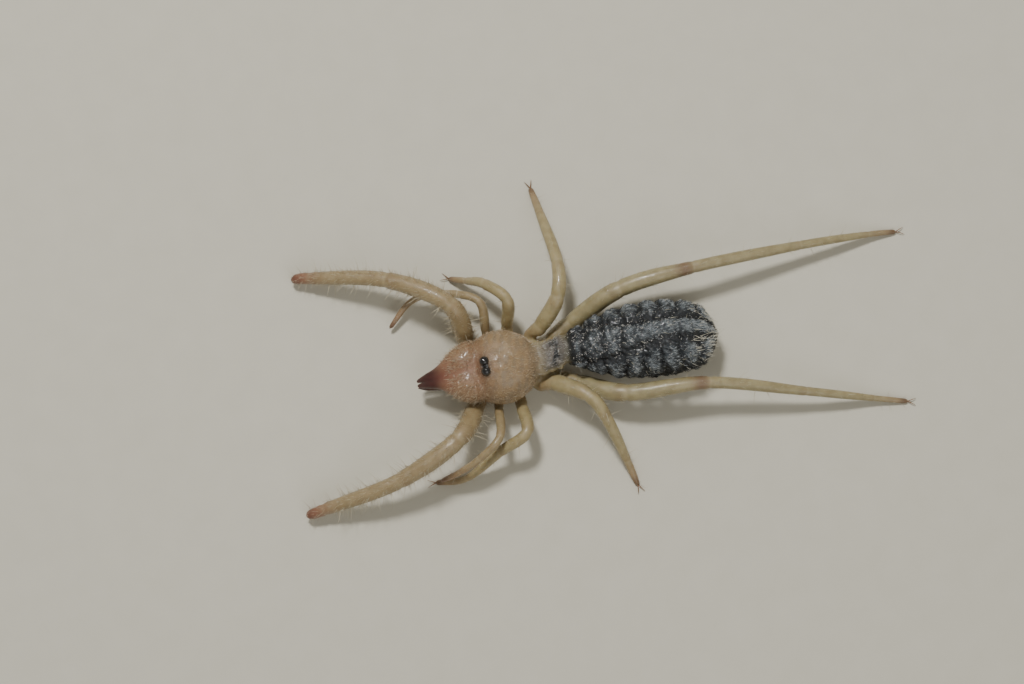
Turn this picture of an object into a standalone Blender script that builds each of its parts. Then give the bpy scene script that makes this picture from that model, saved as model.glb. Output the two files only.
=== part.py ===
"""A camel spider (solifuge), life size, standing still as a museum model.

The head points along -X, the animal's right side is +Y and up is +Z.  Sizes are
in millimetres and turn into metres where a mesh is made.  They are written in a
body frame: x runs to the rear from the middle of the two eyes, y to the
animal's right, z up from the ground.
"""

import math

import bmesh
import bpy
from mathutils import Matrix, Vector

MM = 0.001
GAP = 0.3
SOCKET_GAP = 0.24

# Head: shield, eyes and chelicerae.
SHIELD_FRONT = -0.9
SHIELD_REAR = 5.3
SHIELD_HALF_WIDTH = [(-0.9, 2.95), (0.3, 3.45), (1.6, 3.7), (2.8, 3.5), (4.0, 2.85), (5.3, 1.75)]
SHIELD_TOP = [(-0.9, 6.1), (0.2, 6.5), (1.5, 6.75), (2.8, 6.65), (4.0, 6.25), (5.3, 5.3)]
RIM_HEIGHT = 3.1
EYE_RADIUS = 0.405
EYE_SPREAD = 0.56
EYE_HEIGHT = 6.72
TUBERCLE = Vector((0.72, 1.2, 0.42))

CHELICERA_REAR = SHIELD_FRONT - GAP
CHELICERA_TIP = -6.95
CHELICERA_OUTER = [(-6.95, 0.46), (-6.0, 0.75), (-5.0, 1.05), (-4.0, 1.65), (-3.1, 2.35), (-2.1, 2.85),
                   (-1.2, 2.95)]
CHELICERA_TOP = [(-6.95, 3.25), (-6.0, 4.1), (-5.0, 4.75), (-4.0, 5.35), (-3.1, 5.8), (-2.1, 6.1),
                 (-1.2, 6.05)]
CHELICERA_BOTTOM = [(-6.95, 2.9), (-6.0, 3.4), (-5.0, 3.65), (-4.1, 3.7), (-3.6, 3.45), (-3.1, 2.75),
                    (-2.4, 2.5), (-1.2, 2.55)]
FINGER_PATH = [Vector((-3.45, 0, 2.55)), Vector((-4.3, 0, 2.35)), Vector((-5.3, 0, 2.25)),
               Vector((-6.2, 0, 2.3)), Vector((-6.9, 0, 2.6))]
FINGER_RADII = (0.5, 0.47, 0.4, 0.28, 0.1)
FINGER_OUT = 0.7
FINGER_INWARD = 0.08
# Teeth on the fixed finger by height, and on the lower finger by place and height.
UPPER_TEETH = (0.3, 0.2, 0.32, 0.24, 0.2)
UPPER_TEETH_START = -4.4
UPPER_TEETH_STEP = 0.46
LOWER_TEETH = ((1.25, 0.22), (1.75, 0.3), (2.6, 0.2))

# Underside of the head: one block that the leg bases are fused to.
CHEST_HALF_WIDTH = [(-0.6, 1.2), (0.8, 1.9), (2.4, 2.1), (4.2, 1.85), (5.2, 1.45), (6.4, 1.1)]
CHEST_TOP = RIM_HEIGHT - GAP
CHEST_BOTTOM = 1.3
LIP_ROOT = Vector((0.2, 0.62, 1.5))
LIP_TIP = Vector((-1.9, 0.42, 1.65))
LIP_RADIUS = 0.5

# Waist and abdomen. The abdomen turns a little to the left of the head's line.
WAIST_FRONT = SHIELD_REAR + GAP
WAIST_REAR = 7.87
WAIST_HALF_WIDTH = 1.75
WAIST_MIDDLE = 4.25
WAIST_HALF_HEIGHT = 1.12
ABDOMEN_ROOT = Vector((8.3, 0.5, 0.0))
ABDOMEN_TURN = math.radians(-5.0)
ABDOMEN_LENGTH = 15.0
ABDOMEN_SEGMENTS = 8
ABDOMEN_HALF_WIDTH = [(0.0, 1.45), (1.3, 2.05), (3.4, 2.95), (5.5, 3.5), (8.5, 3.8), (11.0, 3.7),
                      (13.2, 3.0), (14.5, 1.8), (15.0, 0.9)]
ABDOMEN_TOP = [(0.0, 5.2), (1.3, 5.95), (4.0, 7.15), (8.0, 7.75), (11.5, 7.2), (13.8, 5.7), (15.0, 4.2)]
ABDOMEN_BOTTOM = [(0.0, 3.2), (1.3, 2.5), (4.0, 1.3), (8.0, 0.6), (11.5, 0.8), (13.8, 1.9), (15.0, 3.0)]
PLATE_HALF_ANGLE = math.radians(21)
PLATE_RAISE = 0.12
FOLD_ANGLE = math.radians(29)
FOLD_WIDTH = math.radians(8)
FOLD_DEPTH = 0.22
FLANK_ANGLE = math.radians(64)
FLANK_WIDTH = math.radians(32)
FLANK_RAISE = 0.32

SIDES = {"right": 1, "left": -1}
LIMB_SIDES = 10
RINGS_PER_MM = 1.0

# Each limb runs from its coxa under the head, over its joints, to its tip. A row
# holds where the joint is and how thick the limb is there.
LIMBS = {
    ("palp", "right"): [((0.8, 0.7, 1.6), 0.62), ((-0.7, 1.75, 1.55), 0.66), ((-1.3, 3.35, 2.0), 0.84),
                        ((-2.3, 6.9, 5.6), 0.84), ((-8.0, 10.7, 4.4), 0.76),
                        ((-15.5, 12.8, 1.7), 0.54), ((-17.4, 13.1, 1.1), 0.34)],
    ("palp", "left"): [((0.8, -0.7, 1.6), 0.62), ((-0.7, -1.75, 1.55), 0.66), ((-1.6, -3.25, 2.0), 0.84),
                       ((-4.0, -6.5, 5.6), 0.84), ((-10.5, -9.3, 4.4), 0.76),
                       ((-18.3, -10.4, 1.7), 0.54), ((-20.2, -10.65, 1.1), 0.34)],
    ("leg_1", "right"): [((1.5, 0.6, 1.5), 0.4), ((1.0, 2.5, 1.75), 0.42), ((0.8, 4.0, 2.3), 0.44),
                         ((0.6, 6.9, 4.4), 0.4), ((-3.0, 8.6, 2.8), 0.34),
                         ((-6.0, 8.5, 1.8), 0.31), ((-8.6, 6.4, 0.9), 0.2)],
    ("leg_1", "left"): [((1.5, -0.6, 1.5), 0.4), ((0.9, -2.5, 1.75), 0.42), ((0.6, -3.9, 2.3), 0.44),
                        ((0.1, -7.0, 5.2), 0.4), ((-2.3, -8.7, 4.6), 0.34),
                        ((-4.4, -9.5, 3.4), 0.31), ((-6.4, -9.9, 2.1), 0.2)],
    ("leg_2", "right"): [((2.6, 0.6, 1.55), 0.5), ((2.8, 2.6, 1.8), 0.52), ((3.0, 4.2, 2.4), 0.57),
                         ((3.4, 6.3, 5.4), 0.55), ((1.5, 8.5, 4.2), 0.5),
                         ((-0.2, 9.5, 1.9), 0.34), ((-1.8, 10.3, 0.15), 0.25)],
    ("leg_2", "left"): [((2.6, -0.6, 1.55), 0.5), ((2.8, -2.6, 1.8), 0.52), ((2.9, -4.2, 2.4), 0.57),
                        ((2.8, -7.0, 4.6), 0.55), ((-0.2, -8.3, 3.3), 0.5),
                        ((-3.9, -10.0, 1.0), 0.34), ((-7.0, -9.8, 0.15), 0.25)],
    ("leg_3", "right"): [((3.7, 0.6, 1.65), 0.58), ((4.9, 2.5, 1.95), 0.66), ((6.3, 3.4, 3.0), 0.74),
                         ((8.4, 5.7, 5.0), 0.7), ((9.1, 9.2, 4.6), 0.6),
                         ((8.5, 15.0, 1.5), 0.42), ((8.1, 17.9, 0.15), 0.26)],
    ("leg_3", "left"): [((3.7, -0.6, 1.65), 0.58), ((4.9, -2.35, 1.95), 0.62), ((6.5, -2.85, 3.0), 0.66),
                        ((9.5, -4.6, 5.0), 0.66), ((10.85, -7.1, 4.4), 0.58),
                        ((12.2, -11.4, 1.4), 0.4), ((12.85, -13.9, 0.15), 0.24)],
    ("leg_4", "right"): [((5.2, 0.6, 1.65), 0.62), ((6.9, 1.85, 1.6), 0.72), ((9.3, 3.2, 1.95), 0.82),
                         ((14.8, 5.4, 4.1), 0.84), ((22.3, 6.05, 4.7), 0.6),
                         ((33.5, 6.45, 2.8), 0.44), ((40.8, 6.5, 0.9), 0.3), ((43.7, 6.35, 0.15), 0.24)],
    ("leg_4", "left"): [((5.2, -0.6, 1.65), 0.62), ((6.8, -1.7, 1.6), 0.72), ((8.9, -2.8, 1.95), 0.82),
                        ((13.4, -4.95, 3.9), 0.84), ((21.6, -5.65, 4.8), 0.6),
                        ((31.0, -8.15, 3.0), 0.44), ((37.8, -9.95, 0.9), 0.3), ((41.2, -10.85, 0.15), 0.24)],
}
# How far each stretch between two joints swells past its ends.
SWELL = {"palp": (0.0, 0.06, 0.14, 0.12, 0.06, 0.02), "leg_1": (0.0, 0.02, 0.05, 0.03, 0.02, 0.03),
         "leg_2": (0.0, 0.03, 0.08, 0.05, 0.04, 0.03), "leg_3": (0.0, 0.05, 0.1, 0.06, 0.06, 0.03),
         "leg_4": (0.0, 0.05, 0.12, 0.1, 0.06, 0.04, 0.02)}
# The nodes of a limb: its name, and the joints where it begins and ends.
LIMB_PARTS = {"palp": [("femur", 1, 3), ("tibia", 3, 4), ("foot", 4, 6)],
              "leg_1": [("femur", 1, 3), ("tibia", 3, 4), ("foot", 4, 6)],
              "leg_2": [("femur", 1, 3), ("tibia", 3, 4), ("foot", 4, 6)],
              "leg_3": [("femur", 1, 3), ("tibia", 3, 4), ("foot", 4, 6)],
              "leg_4": [("femur", 1, 3), ("patella", 3, 4), ("tibia", 4, 5), ("foot", 5, 7)]}
CLAW_LENGTH = 0.95
CLAW_ROOT = 0.17
CLAW_SPREAD = math.radians(24)
# Malleoli: little racquets that hang in a row under the base of each hind leg.
MALLEOLI_ON_COXA = 3
MALLEOLI_ON_FEMUR = 2
MALLEOLUS_LENGTH = 0.55
MALLEOLUS_WIDTH = 0.6
MALLEOLUS_THICKNESS = 0.2

# Colour as linear RGB, roughness.
FINISHES = {"shield": ((0.42, 0.29, 0.17), 0.35), "eye": ((0.005, 0.005, 0.006), 0.08),
            "chelicera": ((0.44, 0.25, 0.17), 0.4), "finger": ((0.12, 0.03, 0.02), 0.3),
            "limb": ((0.42, 0.32, 0.18), 0.4), "waist": ((0.3, 0.26, 0.24), 0.5),
            "abdomen": ((0.05, 0.055, 0.06), 0.7), "chest": ((0.5, 0.4, 0.27), 0.45)}


def clear_scene():
    for item in list(bpy.data.objects):
        bpy.data.objects.remove(item, do_unlink=True)


def finish_of(name):
    """The material for one finish, made once."""
    found = bpy.data.materials.get(name)
    if found:
        return found
    colour, roughness = FINISHES[name]
    made = bpy.data.materials.new(name)
    made.use_nodes = True
    shader = made.node_tree.nodes["Principled BSDF"]
    shader.inputs["Base Color"].default_value = (*colour, 1.0)
    shader.inputs["Roughness"].default_value = roughness
    return made


def read(stations, x):
    """A smooth curve through a few (x, value) stations."""
    if x <= stations[0][0]:
        return stations[0][1]
    if x >= stations[-1][0]:
        return stations[-1][1]
    k = max(i for i in range(len(stations) - 1) if stations[i][0] <= x)
    (x0, v0), (x1, v1) = stations[k], stations[k + 1]
    before = stations[max(k - 1, 0)]
    after = stations[min(k + 2, len(stations) - 1)]
    t = (x - x0) / (x1 - x0)
    slope_0 = (v1 - before[1]) / (x1 - before[0]) * (x1 - x0)
    slope_1 = (after[1] - v0) / (after[0] - x0) * (x1 - x0)
    return ((2 * t**3 - 3 * t**2 + 1) * v0 + (t**3 - 2 * t**2 + t) * slope_0
            + (3 * t**2 - 2 * t**3) * v1 + (t**3 - t**2) * slope_1)


def power(value, exponent):
    """A signed power, which squares off or sharpens a round section."""
    return math.copysign(abs(value) ** exponent, value)


def mesh_object(name, points, faces, finish=None):
    """An object with a mesh given in millimetres, in the body frame."""
    mesh = bpy.data.meshes.new(name)
    mesh.from_pydata([Vector(p) * MM for p in points], [], faces)
    made = bpy.data.objects.new(name, mesh)
    bpy.context.scene.collection.objects.link(made)
    build = bmesh.new()
    build.from_mesh(mesh)
    bmesh.ops.recalc_face_normals(build, faces=build.faces)
    build.to_mesh(mesh)
    build.free()
    if finish:
        dress(made, finish)
    return made


def dress(made, finish):
    made.data.materials.clear()
    made.data.materials.append(finish_of(finish))
    made.data.shade_smooth()
    made.data.set_sharp_from_angle(angle=math.radians(50))


def tube(name, rings, finish=None):
    """A closed skin over rings of points, with a flat cap at each end."""
    count = len(rings[0])
    points = [p for ring in rings for p in ring]
    faces = [tuple(range(count))[::-1], tuple(range(len(points) - count, len(points)))]
    for k in range(len(rings) - 1):
        for j in range(count):
            a, b = k * count + j, k * count + (j + 1) % count
            faces.append((a, b, b + count, a + count))
    return mesh_object(name, points, faces, finish)


def ellipsoid(name, centre, radii, rows=8, sides=14):
    rings = []
    for k in range(1, rows):
        angle = math.pi * k / rows
        rings.append([Vector(centre) + Vector((-radii[0] * math.cos(angle),
                                               radii[1] * math.sin(angle) * math.cos(t),
                                               radii[2] * math.sin(angle) * math.sin(t)))
                      for t in (math.tau * j / sides for j in range(sides))])
    return tube(name, rings)


def spike(name, root, tip, radius, sides=6):
    """A tooth or a claw's end: a cone with a blunt point."""
    along = (tip - root).normalized()
    across = along.orthogonal().normalized()
    other = along.cross(across)
    rings = [[centre + r * (math.cos(t) * across + math.sin(t) * other)
              for t in (math.tau * j / sides for j in range(sides))]
             for centre, r in ((root, radius), (tip, radius * 0.2))]
    return tube(name, rings)


def largest_surface(mesh):
    """Keeps the closed surface that holds most, and drops loose scraps."""
    build = bmesh.new()
    build.from_mesh(mesh)
    bmesh.ops.dissolve_degenerate(build, edges=build.edges, dist=1e-7)
    bmesh.ops.triangulate(build, faces=build.faces)
    islands, seen = [], set()
    for start in build.faces:
        if start in seen:
            continue
        seen.add(start)
        island, queue = [], [start]
        while queue:
            face = queue.pop()
            island.append(face)
            for edge in face.edges:
                for other in edge.link_faces:
                    if other not in seen:
                        seen.add(other)
                        queue.append(other)
        islands.append(island)

    def holds(island):
        return abs(sum(f.verts[0].co.dot(f.verts[1].co.cross(f.verts[2].co)) for f in island))

    kept = set(max(islands, key=holds))
    bmesh.ops.delete(build, geom=[f for f in build.faces if f not in kept], context="FACES")
    build.to_mesh(mesh)
    build.free()


def boolean(base, others, operation, finish):
    """Joins other solids to base, or cuts them from it, and removes them."""
    group = bpy.data.collections.new(base.name + "_tools")
    bpy.context.scene.collection.children.link(group)
    for item in others:
        bpy.context.scene.collection.objects.unlink(item)
        group.objects.link(item)
    modifier = base.modifiers.new("joined", "BOOLEAN")
    modifier.operation = operation
    modifier.operand_type = "COLLECTION"
    modifier.collection = group
    modifier.solver = "EXACT"
    graph = bpy.context.evaluated_depsgraph_get()
    made = bpy.data.meshes.new_from_object(base.evaluated_get(graph))
    base.modifiers.clear()
    base.data = made
    made.name = base.name
    for item in others:
        bpy.data.objects.remove(item, do_unlink=True)
    bpy.data.collections.remove(group)
    largest_surface(made)
    dress(base, finish)
    return base


def join(base, others, finish):
    return boolean(base, others, "UNION", finish)


def shield_ring(x, count=26):
    """One section of the head shield: an arch that closes along a flat rim."""
    half, top = read(SHIELD_HALF_WIDTH, x), read(SHIELD_TOP, x)
    ring = []
    for j in range(count):
        t = math.pi * j / (count - 1)
        ring.append(Vector((x, half * power(math.cos(t), 0.82),
                            RIM_HEIGHT + (top - RIM_HEIGHT) * math.sin(t) ** 0.86)))
    return ring


def head_shield():
    steps = 15
    rings = [shield_ring(SHIELD_FRONT + (SHIELD_REAR - SHIELD_FRONT) * k / steps)
             for k in range(steps + 1)]
    shield = tube("head_shield", rings)
    mound = ellipsoid("mound", (0.0, 0.0, EYE_HEIGHT - 0.22), TUBERCLE)
    join(shield, [mound], "shield")
    sockets = [ellipsoid("socket", (0.0, side * EYE_SPREAD, EYE_HEIGHT),
                         [EYE_RADIUS + SOCKET_GAP] * 3, 9, 14) for side in SIDES.values()]
    boolean(shield, sockets, "DIFFERENCE", "shield")


def eyes():
    for name, side in SIDES.items():
        eye = ellipsoid(f"eye_{name}", (0.0, side * EYE_SPREAD, EYE_HEIGHT), [EYE_RADIUS] * 3, 9, 14)
        dress(eye, "eye")


def chelicera(name, side):
    """The palm and its fixed upper finger, flat on the side next to its twin."""
    steps, count = 18, 16
    inner = GAP / 2
    rings = []
    for k in range(steps + 1):
        x = CHELICERA_REAR + (CHELICERA_TIP - CHELICERA_REAR) * k / steps
        outer, top, bottom = read(CHELICERA_OUTER, x), read(CHELICERA_TOP, x), read(CHELICERA_BOTTOM, x)
        half, tall = (outer - inner) / 2, (top - bottom) / 2
        ring = []
        for j in range(count):
            t = math.tau * (j + 0.5) / count
            squared = 0.95 if math.cos(t) > 0 else 0.5
            ring.append(Vector((x, side * (inner + half + half * power(math.cos(t), squared)),
                                bottom + tall + tall * power(math.sin(t), 0.9))))
        rings.append(ring)
    palm = tube(f"chelicera_{name}", rings)
    teeth = []
    for k, height in enumerate(UPPER_TEETH):
        x = UPPER_TEETH_START - UPPER_TEETH_STEP * k
        low = read(CHELICERA_BOTTOM, x)
        middle = side * (inner + read(CHELICERA_OUTER, x)) / 2
        teeth.append(spike("tooth", Vector((x + 0.05, middle, low + 0.3)),
                           Vector((x - 0.06, middle, low - height)), 0.2))
    join(palm, teeth, "chelicera")


def finger(name, side):
    """The lower finger of a chelicera, which works up and down."""
    path = smooth_path(FINGER_PATH)
    last = len(FINGER_PATH) - 1
    rings = []
    for k in range(4 * last + 1):
        t = k / 4
        centre, along = path(t)
        across = Vector((0, 1, 0))
        up = along.cross(across).normalized()
        up = up if up.z > 0 else -up
        r = read(list(enumerate(FINGER_RADII)), t)
        centre.y = side * (FINGER_OUT - FINGER_INWARD * t)
        rings.append([centre + r * (0.95 * math.cos(a) * across + math.sin(a) * up)
                      for a in (math.tau * j / 10 for j in range(10))])
    lower = tube(f"chelicera_finger_{name}", rings)
    teeth = []
    for t, height in LOWER_TEETH:
        centre, _ = path(t)
        centre.y = side * (FINGER_OUT - FINGER_INWARD * t)
        reach = read(list(enumerate(FINGER_RADII)), t) + height
        teeth.append(spike("tooth", centre, centre + Vector((-0.05, 0, reach)), 0.19))
    join(lower, teeth, "finger")


def smooth_path(points):
    """Reads a curve through the points: t counts them, and gives a place and a direction."""
    ends = [2 * points[0] - points[1], *points, 2 * points[-1] - points[-2]]

    def at(t):
        k = min(int(t), len(points) - 2)
        f = t - k
        a, b, c, d = ends[k:k + 4]
        place = 0.5 * (2 * b + (c - a) * f + (2 * a - 5 * b + 4 * c - d) * f**2
                       + (3 * b - a - 3 * c + d) * f**3)
        along = 0.5 * ((c - a) + 2 * (2 * a - 5 * b + 4 * c - d) * f + 3 * (3 * b - a - 3 * c + d) * f**2)
        return place, along.normalized()

    return at


def limb_radius(kind, radii, t):
    """Thickness along a limb: it swells between joints and draws in at each one."""
    k = min(int(t), len(radii) - 2)
    f = t - k
    return radii[k] + (radii[k + 1] - radii[k]) * f + SWELL[kind][k] * math.sin(math.pi * f)


def limb_rings(kind, rows, start, end, trim_start=0.0, trim_end=0.0):
    """Sections of a limb from one joint to another, less a trimmed length at each end."""
    points, radii = [Vector(p) for p, _ in rows], [r for _, r in rows]
    path = smooth_path(points)
    length = sum((points[k + 1] - points[k]).length for k in range(start, end))
    steps = max(5, round(length * RINGS_PER_MM))
    rings = []
    for k in range(steps + 1):
        t = start + (end - start) * k / steps
        centre, along = path(t)
        if k == 0:
            centre = centre + along * trim_start
        if k == steps:
            centre = centre - along * trim_end
        across = along.cross(Vector((0, 0, 1))).normalized()
        up = across.cross(along)
        r = limb_radius(kind, radii, t)
        rings.append([centre + r * (math.cos(a) * across + math.sin(a) * up)
                      for a in (math.tau * j / LIMB_SIDES for j in range(LIMB_SIDES))])
    return rings


def claws(rows):
    """Two slim claws that spread from the end of a foot and curve to the ground."""
    tip, r = Vector(rows[-1][0]), rows[-1][1]
    along = (tip - Vector(rows[-2][0])).normalized()
    along = Vector((along.x, along.y, 0)).normalized()
    made = []
    for turn in (-CLAW_SPREAD, CLAW_SPREAD):
        heading = Matrix.Rotation(turn, 3, "Z") @ along
        bend = [tip - 0.25 * heading, tip + 0.4 * CLAW_LENGTH * heading + Vector((0, 0, 0.12)),
                tip + 0.8 * CLAW_LENGTH * heading, tip + CLAW_LENGTH * heading - Vector((0, 0, 0.18))]
        path = smooth_path(bend)
        rings = []
        for k in range(5):
            t = 3 * k / 4
            centre, direction = path(t)
            across = direction.cross(Vector((0, 0, 1))).normalized()
            up = across.cross(direction)
            radius = min(CLAW_ROOT, r) * (1 - 0.26 * t)
            rings.append([centre + radius * (math.cos(a) * across + math.sin(a) * up)
                          for a in (math.tau * j / 5 for j in range(5))])
        made.append(tube("claw", rings))
    return made


def malleoli(rows, start, end, first, count):
    """Racquets under a stretch of the hind leg: a thin stem that widens to a flat fan."""
    path = smooth_path([Vector(p) for p, _ in rows])
    made = []
    for k in range(count):
        f = first + k * 0.3
        centre, along = path(start + (end - start) * f)
        flat = Vector((along.x, along.y, 0)).normalized()
        lean = flat.cross(Vector((0, 0, 1)))
        root = centre - Vector((0, 0, 0.35))
        rings = []
        for down, wide in ((0.0, 0.2), (0.55, 0.2), (0.85, 0.6), (1.0, 0.95)):
            middle = root - Vector((0, 0, down * (MALLEOLUS_LENGTH + 0.35)))
            half_wide, half_thick = wide * MALLEOLUS_WIDTH / 2, MALLEOLUS_THICKNESS / 2
            rings.append([middle + a * half_wide * flat + b * half_thick * lean
                          for a, b in ((1, 1), (-1, 1), (-1, -1), (1, -1))])
        made.append(tube("malleolus", rings))
    return made


def set_on_ground(made):
    """Flattens what would reach below the ground, which makes the small flats it stands on."""
    for v in made.data.vertices:
        v.co.z = max(v.co.z, 0.0)


def limb(kind, side_name):
    rows = LIMBS[kind, side_name]
    for part, start, end in LIMB_PARTS[kind]:
        is_tip = end == len(rows) - 1
        rings = limb_rings(kind, rows, start, end, GAP / 2, 0 if is_tip else GAP / 2)
        if is_tip:
            centre = sum(rings[-1], Vector()) / LIMB_SIDES
            ahead = Vector(rows[-1][0]) - Vector(rows[-2][0])
            ahead = ahead.normalized() * rows[-1][1]
            rings.append([centre + ahead * 0.5 + (p - centre) * 0.8 for p in rings[-1]])
            rings.append([centre + ahead * 0.8 + (p - centre) * 0.45 for p in rings[-2]])
        made = tube(f"{kind}_{side_name}_{part}", rings, "limb")
        if is_tip and kind in ("leg_2", "leg_3", "leg_4"):
            join(made, claws(rows), "limb")
            set_on_ground(made)
        if kind == "leg_4" and start == 1:
            join(made, malleoli(rows, 1, 2, 0.2, MALLEOLI_ON_FEMUR), "limb")


def chest():
    """The underside of the head, with the coxa of every limb fused to it."""
    steps, count = 10, 18
    front, rear = CHEST_HALF_WIDTH[0][0], CHEST_HALF_WIDTH[-1][0]
    middle = (CHEST_TOP + CHEST_BOTTOM) / 2
    tall = (CHEST_TOP - CHEST_BOTTOM) / 2
    rings = []
    for k in range(steps + 1):
        x = front + (rear - front) * k / steps
        half = read(CHEST_HALF_WIDTH, x)
        rings.append([Vector((x, half * power(math.cos(t), 0.7), middle + tall * power(math.sin(t), 0.6)))
                      for t in (math.tau * (j + 0.5) / count for j in range(count))])
    block = tube("chest", rings)
    pieces = []
    for (kind, _), rows in LIMBS.items():
        rings = limb_rings(kind, rows, 0, 1, 0.0, GAP / 2)
        pieces.append(tube("coxa", rings))
        if kind == "leg_4":
            pieces += malleoli(rows, 0, 1, 0.2, MALLEOLI_ON_COXA)
    for side in SIDES.values():
        mirror = Vector((1, side, 1))
        pieces.append(spike("lip", LIP_ROOT * mirror, LIP_TIP * mirror, LIP_RADIUS, 10))
    join(block, pieces, "chest")


def waist():
    """The narrow stretch between head and abdomen."""
    steps, count = 8, 20
    rings = []
    for k in range(steps + 1):
        f = k / steps
        x = WAIST_FRONT + (WAIST_REAR - WAIST_FRONT) * f
        half = WAIST_HALF_WIDTH * (1 - 0.1 * math.sin(math.pi * f))
        tall = WAIST_HALF_HEIGHT * (1 - 0.08 * math.sin(2 * math.pi * f) ** 2)
        y = ABDOMEN_ROOT.y * f * f
        rings.append([Vector((x, y + half * math.cos(t), WAIST_MIDDLE + tall * math.sin(t)))
                      for t in (math.tau * j / count for j in range(count))])
    tube("waist", rings, "waist")


def abdomen_ring(s, count=40):
    """One section of the abdomen, s from its front: back plates, a fold beside them and full flanks."""
    half = read(ABDOMEN_HALF_WIDTH, s)
    top, bottom = read(ABDOMEN_TOP, s), read(ABDOMEN_BOTTOM, s)
    middle, tall = (top + bottom) / 2, (top - bottom) / 2
    mound = abs(math.sin(math.pi * ABDOMEN_SEGMENTS * s / ABDOMEN_LENGTH)) ** 0.8
    fade = min(1.0, half / 2.5)
    ring = []
    for j in range(count):
        t = math.tau * j / count
        from_top = abs((t - math.pi / 2 + math.pi) % math.tau - math.pi)
        plate = 1.0 if from_top < PLATE_HALF_ANGLE else 0.0
        fold = math.exp(-((from_top - FOLD_ANGLE) / FOLD_WIDTH) ** 2)
        flank = math.exp(-((from_top - FLANK_ANGLE) / FLANK_WIDTH) ** 2)
        grow = (PLATE_RAISE * plate * mound - FOLD_DEPTH * fold
                + FLANK_RAISE * flank * (mound - 0.5) - 0.1 * (1 - mound) * (1 - flank)) * fade
        y = (half + grow) * power(math.cos(t), 0.92)
        z = middle + (tall + grow) * power(math.sin(t), 0.92)
        turned = Matrix.Rotation(ABDOMEN_TURN, 3, "Z") @ Vector((s, y, 0))
        ring.append(ABDOMEN_ROOT + turned + Vector((0, 0, z)))
    return ring


def abdomen():
    rings_per_segment = 5
    steps = ABDOMEN_SEGMENTS * rings_per_segment
    rings = [abdomen_ring(ABDOMEN_LENGTH * k / steps) for k in range(steps + 1)]
    tube("abdomen", rings, "abdomen")


def centre_on_ground():
    """Moves the whole so that the middle of its span stands at the origin."""
    places = [v.co for item in bpy.data.objects for v in item.data.vertices]
    middle = Vector((0, 0, 0))
    for axis in (0, 1):
        middle[axis] = (min(p[axis] for p in places) + max(p[axis] for p in places)) / 2
    for item in bpy.data.objects:
        item.location = -middle


def main():
    clear_scene()
    head_shield()
    eyes()
    for name, side in SIDES.items():
        chelicera(name, side)
        finger(name, side)
    chest()
    waist()
    abdomen()
    for kind, side_name in LIMBS:
        limb(kind, side_name)
    centre_on_ground()


main()
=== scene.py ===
# %% [markdown]
# A camel spider, life size
#
# A camel spider is an arachnid with big paired jaws, slim feelers (palps) that it holds out in
# front, eight thin legs and a soft, ringed abdomen under short silvery hair. This lesson dresses
# the plain solids of the model: one smooth skin over the whole body, glossy eyes, horn jaw tips
# and claws, and thousands of real hairs.

import math

import bmesh
import bpy
import numpy as np
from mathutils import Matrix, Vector
from mathutils.bvhtree import BVHTree
from mathutils.kdtree import KDTree


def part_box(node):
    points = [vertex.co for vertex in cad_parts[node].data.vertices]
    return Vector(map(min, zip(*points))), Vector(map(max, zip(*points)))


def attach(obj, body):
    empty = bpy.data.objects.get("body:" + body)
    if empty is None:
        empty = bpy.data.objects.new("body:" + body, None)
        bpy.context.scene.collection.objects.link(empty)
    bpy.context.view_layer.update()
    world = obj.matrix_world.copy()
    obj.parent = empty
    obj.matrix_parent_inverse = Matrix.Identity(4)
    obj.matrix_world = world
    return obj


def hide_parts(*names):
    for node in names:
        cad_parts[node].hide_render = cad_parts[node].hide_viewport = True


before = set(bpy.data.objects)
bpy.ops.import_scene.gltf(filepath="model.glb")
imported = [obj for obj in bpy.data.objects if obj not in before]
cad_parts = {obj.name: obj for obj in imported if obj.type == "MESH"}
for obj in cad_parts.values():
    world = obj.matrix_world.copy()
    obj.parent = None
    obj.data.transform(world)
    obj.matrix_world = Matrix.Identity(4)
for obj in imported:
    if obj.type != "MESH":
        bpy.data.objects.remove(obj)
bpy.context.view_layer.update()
MM = 0.001
EYE_LOW, EYE_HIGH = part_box("eye_left")[0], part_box("eye_right")[1]
ORIGIN = np.array([(EYE_LOW.x + EYE_HIGH.x) / 2, (EYE_LOW.y + EYE_HIGH.y) / 2, 0.0])

# %% [markdown]
# The solids are drawn in a body frame in millimetres: x runs to the rear from the middle of the
# eyes, y to the animal's right and z up from the ground. The same frame serves here, so every
# surface lands on its solid. Each measure of the body is a few stations with a smooth curve
# through them, as a boat builder gives a hull by its sections.

# %% Smooth curves through stations
def smooth(stations, x):
    """The value at x on a smooth curve through (x, value) stations; x may be an array."""
    xs = np.array([s[0] for s in stations], float)
    vs = np.array([s[1] for s in stations], float)
    x = np.clip(x, xs[0], xs[-1])
    k = np.clip(np.searchsorted(xs, x, side="right") - 1, 0, len(xs) - 2)
    before, after = np.maximum(k - 1, 0), np.minimum(k + 2, len(xs) - 1)
    wide = xs[k + 1] - xs[k]
    t = (x - xs[k]) / wide
    slope_0 = (vs[k + 1] - vs[before]) / (xs[k + 1] - xs[before]) * wide
    slope_1 = (vs[after] - vs[k]) / (xs[after] - xs[k]) * wide
    return ((2 * t**3 - 3 * t**2 + 1) * vs[k] + (t**3 - 2 * t**2 + t) * slope_0
            + (3 * t**2 - 2 * t**3) * vs[k + 1] + (t**3 - t**2) * slope_1)


def bell(x, centre, width):
    """1 at the centre, falling softly to nothing about two widths away."""
    return np.exp(-((x - centre) / width) ** 2)


def step(x, low, high):
    """0 below low, 1 above high, with a soft ramp between."""
    t = np.clip((x - low) / (high - low), 0, 1)
    return t * t * (3 - 2 * t)


def power(value, exponent):
    """A power that keeps the sign."""
    return np.sign(value) * np.abs(value) ** exponent


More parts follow.
